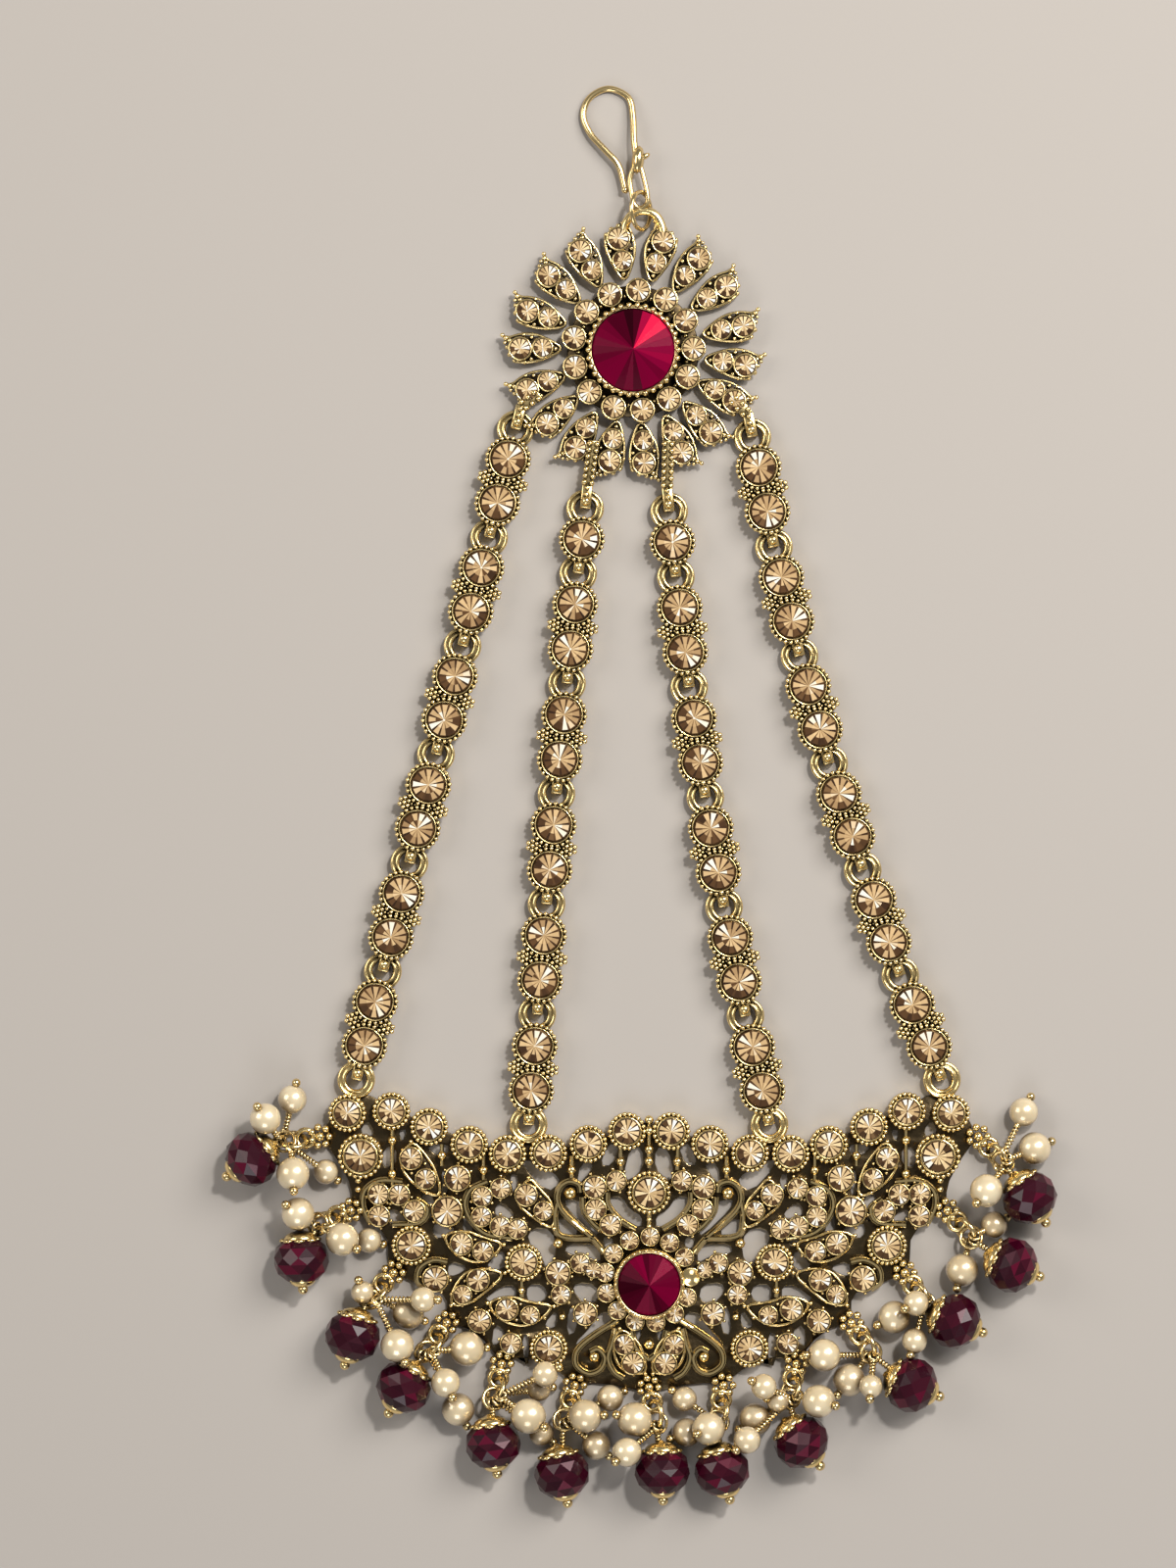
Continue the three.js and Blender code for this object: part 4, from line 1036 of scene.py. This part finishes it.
# the low sheet and the leaves' grounds are near-black: painted shade for the shadowed gaps between the pieces
sheet = flatSheet('plateSheet', [laidLoop(softened(outline, 1))] + [laidLoop(gap) for gap in openings],
                  relief['sheetFoot'], relief['sheetTop'], relief['sheetEdge'])
leafGrounds = flatSheet('leafGrounds', [laidLoop(leafEdge(leaf, relief['leafMargin'])) for leaf in leaves],
                        relief['leafFoot'], relief['leafTop'])
shown(joined('plateGround', [sheet, leafGrounds]), paintedShadeGold, ['crescent_plate'])
plateWires = [
    wires('leafRims', [laidLoop(leafEdge(leaf, relief['rimMargin']), relief['rimLevel']) for leaf in leaves],
          relief['rimWire'], closed=True, roundness=2),
    wires('bandRims', [side for line in bandLines for side in bandSides(line)], relief['bandWire']),
    wires('bandCores', [laidLoop(bandRoute(line), relief['coreLevel']) for line in bandLines],
          relief['coreWire']),
    wires('posts', [laidLoop(line, relief['postLevel']) for line in mirroredLoops(plate['posts'])],
          relief['postWire'])]

settings, stones, granules, bases = [], [], [], []


def setStone(u, v, radius, spin, level=0.0, count=0):
    # a collet with its stone; the larger ones stand inside a ring of granules
    x, y = onPlate(u, v)
    over = radius * step * (relief['basedShare'] if count else 1)
    reach = over / collet['lip']
    settings.append(spot(x, y, relief['colletFoot'], 0, (reach, reach, relief['colletHeight'] + level)))
    stones.append(spot(x, y, relief['stoneLevel'] + level, spin, over * relief['stoneShare']))
    if count:
        ring = radius * step * relief['baseShare']
        bases.append(spot(x, y, 0, 0, (ring, ring, 1)))
        granules.extend(milgrain(x, y, relief['milgrainLevel'] + level, ring, count, relief['milgrain']))


topRow, large, small = relief['topRow'], relief['large'], relief['small']
for i, (u, v) in enumerate(bothSides(plate['topRow'])):
    setStone(u, v, topRow['radius'], i * topRow['turnEach'], topRow['level'], topRow['count'])
for i, (u, v, radius) in enumerate(bothSides(plate['large'])):
    setStone(u, v, radius + large['more'], i * large['turnEach'], large['level'], large['count'])
chance = random.Random(5)
neighbours = [(u, v, topRow['radius']) for u, v in bothSides(plate['topRow'])]
neighbours += bothSides(plate['large'] + plate['small'])
neighbours += [point for leaf in leaves for point in leaf[1:-1]]
for i, (u, v, radius) in enumerate(bothSides(plate['small'])):
    # a small stone grows into the room that its neighbours leave
    room = min(math.hypot(u - x, v - y) - reach for x, y, reach in neighbours if (x, y) != (u, v))
    radius = max(radius, min(room - small['gap'], radius * small['growth']))
    setStone(u, v, radius + small['more'], i * small['turnEach'])
    ring = relief['smallGranules']
    granules += milgrain(*onPlate(u, v), ring['level'], (radius + ring['out']) * step, ring['count'],
                         ring['size'], chance.uniform(0, math.tau))
leafStone = relief['leaf']
for i, leaf in enumerate(leaves):
    for u, v, radius in leaf[1:-1]:
        setStone(u, v, radius + leafStone['more'], i * leafStone['turnEach'] + u, leafStone['level'])
    granules += [spot(*onPlate(u, v), relief['tip']['level'], 0, relief['tip']['size'])
                 for u, v in (leaf[0], leaf[-1])]
    for (u, v, *_), (nextU, nextV, *_) in zip(leaf, leaf[1:]):
        # a pair of granules on either side of the spine, between one stone and the next
        middle = onPlate((u + nextU) / 2, (v + nextV) / 2)
        aside = Vector((v - nextV, nextU - u)).normalized() * relief['pair']['aside']
        granules += [spot(*(middle + aside * way), relief['pair']['level'], 0, relief['pair']['size'])
                     for way in (-1, 1)]
for u, v, radius in bothSides(plate['balls']):
    granules.append(spot(*onPlate(u, v), relief['ballLevel'], 0, radius * step))
for u, v in plate['bosses']:
    x, y = onPlate(u, v)
    level, size = relief['bossTop']
    granules += clusterBalls(x, y, **relief['boss']) + [spot(x, y, level, 0, size)]

ringU, ringV, ringReach, ringStone = plate['rubyRing']
ringMiddle = onPlate(ringU, ringV)
for k in range(plate['ringCount']):
    angle = math.radians(plate['ringStart'] - k * 360 / plate['ringCount'])
    x = ringMiddle.x + ringReach * step * math.cos(angle)
    y = ringMiddle.y + ringReach * step * math.sin(angle)
    setCollet(Matrix(), x, y, ringStone * step, relief['ringCollet'],
              None if k == plate['lostStone'] else angle, relief['ringStoneShare'])
granules += milgrain(plateMiddle.x, plateMiddle.y, relief['toothLevel'],
                     plate['rubyRadius'] + relief['toothOut'], relief['teeth'], relief['tooth'])

lug = {'reach': 1.65, 'radius': 0.98, 'wire': 0.28, 'level': 1.3}
bead = {
    'radius': 3.1, 'halfLength': 2.4, 'capDepth': 0.7, 'sides': 10, 'turnEach': 0.37,
    'profile': [(1.75, -2.38), (2.78, -1.45), (3.1, -0.4), (3.1, 0.4), (2.78, 1.45), (1.75, 2.38)],
    'tones': [0.1, 0.2, 0.25, 0.3, 0.4, 0.45, 0.5, 0.8],
    'cap': [(1.85, 2.2), (1.9, 2.35), (1.7, 2.7), (1.25, 3.0), (0.7, 3.15), (0.3, 3.3), (0.22, 3.4)],
    'capSides': 16, 'capPetals': 8, 'petalAt': (1.85, 0, 2.16), 'petalSize': (0.55, 0.66, 0.3),
    'endCap': (0.8, 0.8, 0.98),
}
jump = {
    'radius': 1.45, 'wire': 0.29, 'tilt': 32, 'rise': 20, 'reach': 1.65, 'level': 1.3, 'leastAhead': 0.5,
    'looseRadius': 1.2, 'looseWire': 0.2, 'looseReach': 1.0, 'looseLean': 24,
}
# one row for each bead: its middle, the heading of its pin in degrees, and its cluster's pearls
fringe = [
    {'u': -405, 'v': 128, 'axis': 215, 'pearls': [(-390, 170, 16), (-362, 114, 17)],
     'small': [(-364, 188, 15), (-330, 114, 13)]},
    {'u': -354, 'v': 26, 'axis': 273, 'pearls': [(-357, 73, 17), (-312, 47, 17)],
     'small': [(-286, 44, 13)]},
    {'u': -302, 'v': -52, 'axis': 255, 'pearls': [(-246, -30, 17), (-256, -60, 17)],
     'small': [(-292, -8, 12), (-230, -14, 13)]},
    {'u': -250, 'v': -104, 'axis': 240, 'pearls': [(-186, -66, 18), (-195, -128, 17)],
     'small': [(-207, -98, 15)]},
    {'u': -159, 'v': -162, 'axis': 278, 'pearls': [(-123, -132, 18)],
     'small': [(-106, -90, 13), (-113, -108, 13), (-110, -153, 13)]},
    {'u': -89, 'v': -192, 'axis': 281, 'pearls': [(-65, -133, 17)],
     'small': [(-40, -117, 14), (-54, -165, 15)]},
    {'u': 13, 'v': -189, 'axis': 272, 'pearls': [(-15, -137, 18)], 'small': [(-23, -168, 15)]},
    {'u': 74, 'v': -189, 'axis': 285, 'pearls': [(60, -145, 17)],
     'small': [(36, -118, 13), (38, -152, 15)]},
    {'u': 155, 'v': -160, 'axis': 308, 'pearls': [(108, -138, 17), (172, -117, 17)],
     'small': [(131, -118, 12), (99, -156, 14), (116, -102, 13)]},
    {'u': 267, 'v': -102, 'axis': 338, 'pearls': [(178, -72, 17), (204, -98, 17)],
     'small': [(225, -102, 12)]},
    {'u': 311, 'v': -37, 'axis': 338, 'pearls': [(250, -34, 17)],
     'small': [(271, -18, 13), (270, -57, 13)]},
    {'u': 369, 'v': 20, 'axis': 338, 'pearls': [(319, 14, 17)], 'small': [(352, 60, 14)]},
    {'u': 387, 'v': 89, 'axis': 303, 'pearls': [(393, 138, 17), (342, 97, 17)],
     'small': [(382, 175, 15)]},
]


def onBead(row):
    return onPlate(row['u'], row['v'])


def beadWay(row):
    return Vector((math.cos(math.radians(row['axis'])), math.sin(math.radians(row['axis']))))


def beadTop(row):
    return onBead(row) - beadWay(row) * (bead['halfLength'] + bead['capDepth'])


lugPlaces, eyePlaces = [], []
for boss, row in zip(plate['bosses'], fringe):
    # a boss's lug points at the top of its bead
    row['boss'] = onPlate(*boss)
    away = beadTop(row) - row['boss']
    row['turn'] = math.atan2(away.y, away.x)
    lugPlaces.append(spot(*(row['boss'] + away.normalized() * lug['reach']), lug['level'], row['turn']))
for strand in strandRows:
    before, last = strandEyes(strand)[-2:]
    way = last - before
    eyePlaces.append(spot(last.x, last.y, 0, math.atan2(way.y, way.x)))
bezel = bezelForm(plate['rubyRadius'], relief['bezelFoot'], relief['bezelTop'])
plateRelief = joined('plateRelief', plateWires + [
    spread('plateSettings', colletForm(), settings),
    spread('plateBases', turnedForm('base', relief['base'], relief['baseSides']), bases),
    spread('plateGranules', ball('granule'), granules),
    spread('plateLugs', ringWire('lug', lug['radius'], lug['wire'], 16, 8), lugPlaces),
    spread('plateEyes', eyeRing(), eyePlaces),
    spread('plateBezel', bezel, [spot(plateMiddle.x, plateMiddle.y)])])
shown(plateRelief, reliefGold, ['crescent_plate'])
shown(cutStones('plateStones', stones, 23), paleChampagne)
placedRuby('plateRuby', plateMiddle, plate['rubyRadius'], relief['rubyTop'], relief['paintedFacetLight'], 'plate_ruby')
print("plate made")


# Fringe

# how high and wide the plate's collets, bosses and lugs stand, and the room that a pearl keeps from them
fall = {
    'top': 6.95, 'gap': 0.3, 'postTop': 2.2, 'postRadius': 2.4, 'lugTop': 1.6, 'bossRadius': 1.35,
    'lugOut': 1.5,
}
pin = {
    'wire': 0.16, 'coil': 0.24, 'coilFrom': 0.5, 'coilSides': 8, 'shortest': 0.7, 'turnsPerMm': 2,
    'fewestTurns': 2, 'loopRadius': 0.6, 'loopWire': 0.17, 'loopFrom': 0.1,
    # where the pin's wire starts past the ring, and the shares of a pearl's radius where it enters and ends
    'from': 0.3, 'entry': 0.97, 'inside': 0.6,
    # the pin's balls: how far past the pearl and their radius, outside and on the ring's side
    'outerBall': (0.3, 0.52), 'innerBall': (0.02, 0.4), 'beadBall': (3.35, 0.6), 'beadMore': 0.1,
}


def overHeight(reach, aside):
    return math.sqrt(reach * reach - aside * aside) if aside < reach else -math.inf


def pearlBlocks(at, radius, placed):
    # the heights at which a pearl here would meet the settings, lugs, beads or other pearls
    reach = radius + fall['gap']
    blocks = []
    for u, v in bothSides(plate['topRow']) + [one[:2] for one in bothSides(plate['large'])]:
        aside = max(0, (onPlate(u, v) - at).length - fall['postRadius'])
        blocks.append((-math.inf, fall['postTop'] + overHeight(reach, aside)))
    for row in fringe:
        for out in (0, fall['lugOut']):
            post = row['boss'] + Vector((math.cos(row['turn']), math.sin(row['turn']))) * out
            rise = overHeight(reach, max(0, (post - at).length - fall['bossRadius']))
            blocks.append((-math.inf, fall['lugTop'] + rise))
        rise = overHeight(reach + bead['radius'], (onBead(row) - at).length)
        blocks.append((bead['radius'] - rise, bead['radius'] + rise))
    for x, y, z, other, _ in placed:
        rise = overHeight(reach + other, (Vector((x, y)) - at).length)
        blocks.append((z - rise, z + rise))
    return blocks


def lowestClear(radius, blocks):
    # the lowest height, from the floor up, that none of the blocks holds
    level, nearly = radius, 1e-9
    while any(low < level < high - nearly for low, high in blocks):
        level = min(high for low, high in blocks if low < level < high - nearly)
    return level


def coilRoute(start, end, turns):
    way = end - start
    aside = way.orthogonal().normalized()
    up = way.normalized().cross(aside)
    sides = pin['coilSides']
    count = int(turns * sides)
    return [start + way * (k / count) + (aside * math.cos(k * math.tau / sides)
                                         + up * math.sin(k * math.tau / sides)) * pin['coil']
            for k in range(count + 1)]


pearls = []
for kind in ('pearls', 'small'):
    for cluster, row in enumerate(fringe):
        for u, v, size in row[kind]:
            at = onPlate(u, v)
            radius = size * step
            blocks = pearlBlocks(at, radius, pearls)
            # a large pearl lies on all that is under it, and a small one also under a raised neighbour
            tops = [high for low, high in blocks]
            z = max(radius, *tops) if kind == 'pearls' else lowestClear(radius, blocks)
            pearls.append((at.x, at.y, z, radius, cluster))

rings, looseRings, loops, coils, pinEnds, pearlPlaces, beadPlaces, capPlaces = [], [], [], [], [], [], [], []
for cluster, row in enumerate(fringe):
    rise = math.radians(jump['rise'])
    out = Vector((math.cos(row['turn']), math.sin(row['turn'])))
    flat = row['boss'] + out * (jump['reach'] + jump['radius'] * math.cos(rise))
    middle = Vector((flat.x, flat.y, jump['level'] + jump['radius'] * math.sin(rise)))
    lean = Euler((math.radians(90 - jump['tilt']), -rise, row['turn'])).to_matrix()
    along, across = lean @ Vector((1, 0, 0)), lean @ Vector((0, 1, 0))
    rings.append(Matrix.Translation(middle * mm) @ lean.to_4x4())
    looser = middle + along * jump['looseReach']
    looseLean = Euler((math.radians(jump['looseLean']), 0, row['turn'] + cluster)).to_matrix()
    looseRings.append(Matrix.Translation(looser * mm) @ looseLean.to_4x4())
    # what hangs on this ring: its pearls and its bead, each a place and a reach
    beadMiddle = Vector((*onBead(row), bead['radius']))
    own = [(Vector(pearl[:3]), pearl[3]) for pearl in pearls if pearl[4] == cluster]
    own.append((beadMiddle, bead['halfLength'] + bead['capDepth'] + pin['beadMore']))
    for place, radius in own:
        toward = place - middle
        aside = toward.dot(across)
        ahead = max(toward.dot(along), abs(aside) * jump['leastAhead'])
        angle = math.atan2(aside, ahead)
        start = middle + (along * math.cos(angle) + across * math.sin(angle)) * jump['radius']
        way = (place - start).normalized()
        entry = place - way * radius * pin['entry']
        loops.append(aimed(start + way * pin['loopFrom'], way.orthogonal()))
        if (entry - start).dot(way) > pin['shortest']:
            turns = max(pin['fewestTurns'], (entry - start).length * pin['turnsPerMm'])
            coils.append(coilRoute(start + way * pin['coilFrom'], entry, turns))
        coils.append([start + way * pin['from'], place - way * radius * pin['inside']])
        if place is not beadMiddle:
            for past, size, side in ((*pin['outerBall'], 1), (*pin['innerBall'], -1)):
                end = place + way * (radius + past) * side
                pinEnds.append(spot(end.x, end.y, min(end.z, fall['top'] - size), 0, size))
            pearlPlaces.append(aimed(place, way, radius))
    threaded = Euler((0, math.pi / 2, math.radians(row['axis']))).to_matrix().to_4x4()
    base = Matrix.Translation(beadMiddle * mm) @ threaded
    beadPlaces.append(base @ spot(0, 0, 0, cluster * bead['turnEach']))
    capPlaces += [base @ Matrix.Rotation(math.pi, 4, 'X'), base @ spot(0, 0, 0, 0, bead['endCap'])]
    past, size = pin['beadBall']
    pinEnds.append(spot(*(beadMiddle + Vector((*beadWay(row), 0)) * past), 0, size))

beadForm = turnedForm('beadForm', bead['profile'], bead['sides'], math.pi / bead['sides'], smooth=False)
beads = spread('beads', beadForm, beadPlaces)
chance = random.Random(31)
giveTones(beads, [chance.choice(bead['tones']) + chance.uniform(-toneScatter, toneScatter)
                  for _ in beads.data.polygons])
shown(beads, burgundyGlass, [f'ruby_bead_{k:02d}' for k in range(1, 14)])
petals = [spot(0, 0, 0, k * math.tau / bead['capPetals']) @ spot(*bead['petalAt'], 0, bead['petalSize'])
          for k in range(bead['capPetals'])]
capForm = joined('cap', [turnedForm('capDome', bead['cap'], bead['capSides']),
                         spread('capPetals', ball('capPetal', 8, 6), petals)])
caps = spread('beadCaps', capForm, capPlaces)
clusterNodes = [f'pearl_cluster_{k:02d}' for k in range(1, 14)]
shown(caps, antiqueGold, clusterNodes)
shown(spread('pearls', ball('pearl', 24, 14), pearlPlaces), pearlCoat, clusterNodes)
pinPiece = joined('pins', [
    wires('coils', [[tuple(point) for point in route] for route in coils], pin['wire']),
    spread('pinLoops', ringWire('pinLoop', pin['loopRadius'], pin['loopWire'], 14, 6), loops),
    spread('pinBalls', ball('pinBall', 10, 7), pinEnds),
    spread('looseRings', ringWire('looseRing', jump['looseRadius'], jump['looseWire'], 20, 8), looseRings),
    spread('jumpRings', ringWire('jumpRing', jump['radius'], jump['wire'], 24, 8), rings)])
shown(pinPiece, paleWire, clusterNodes)
print("fringe made")
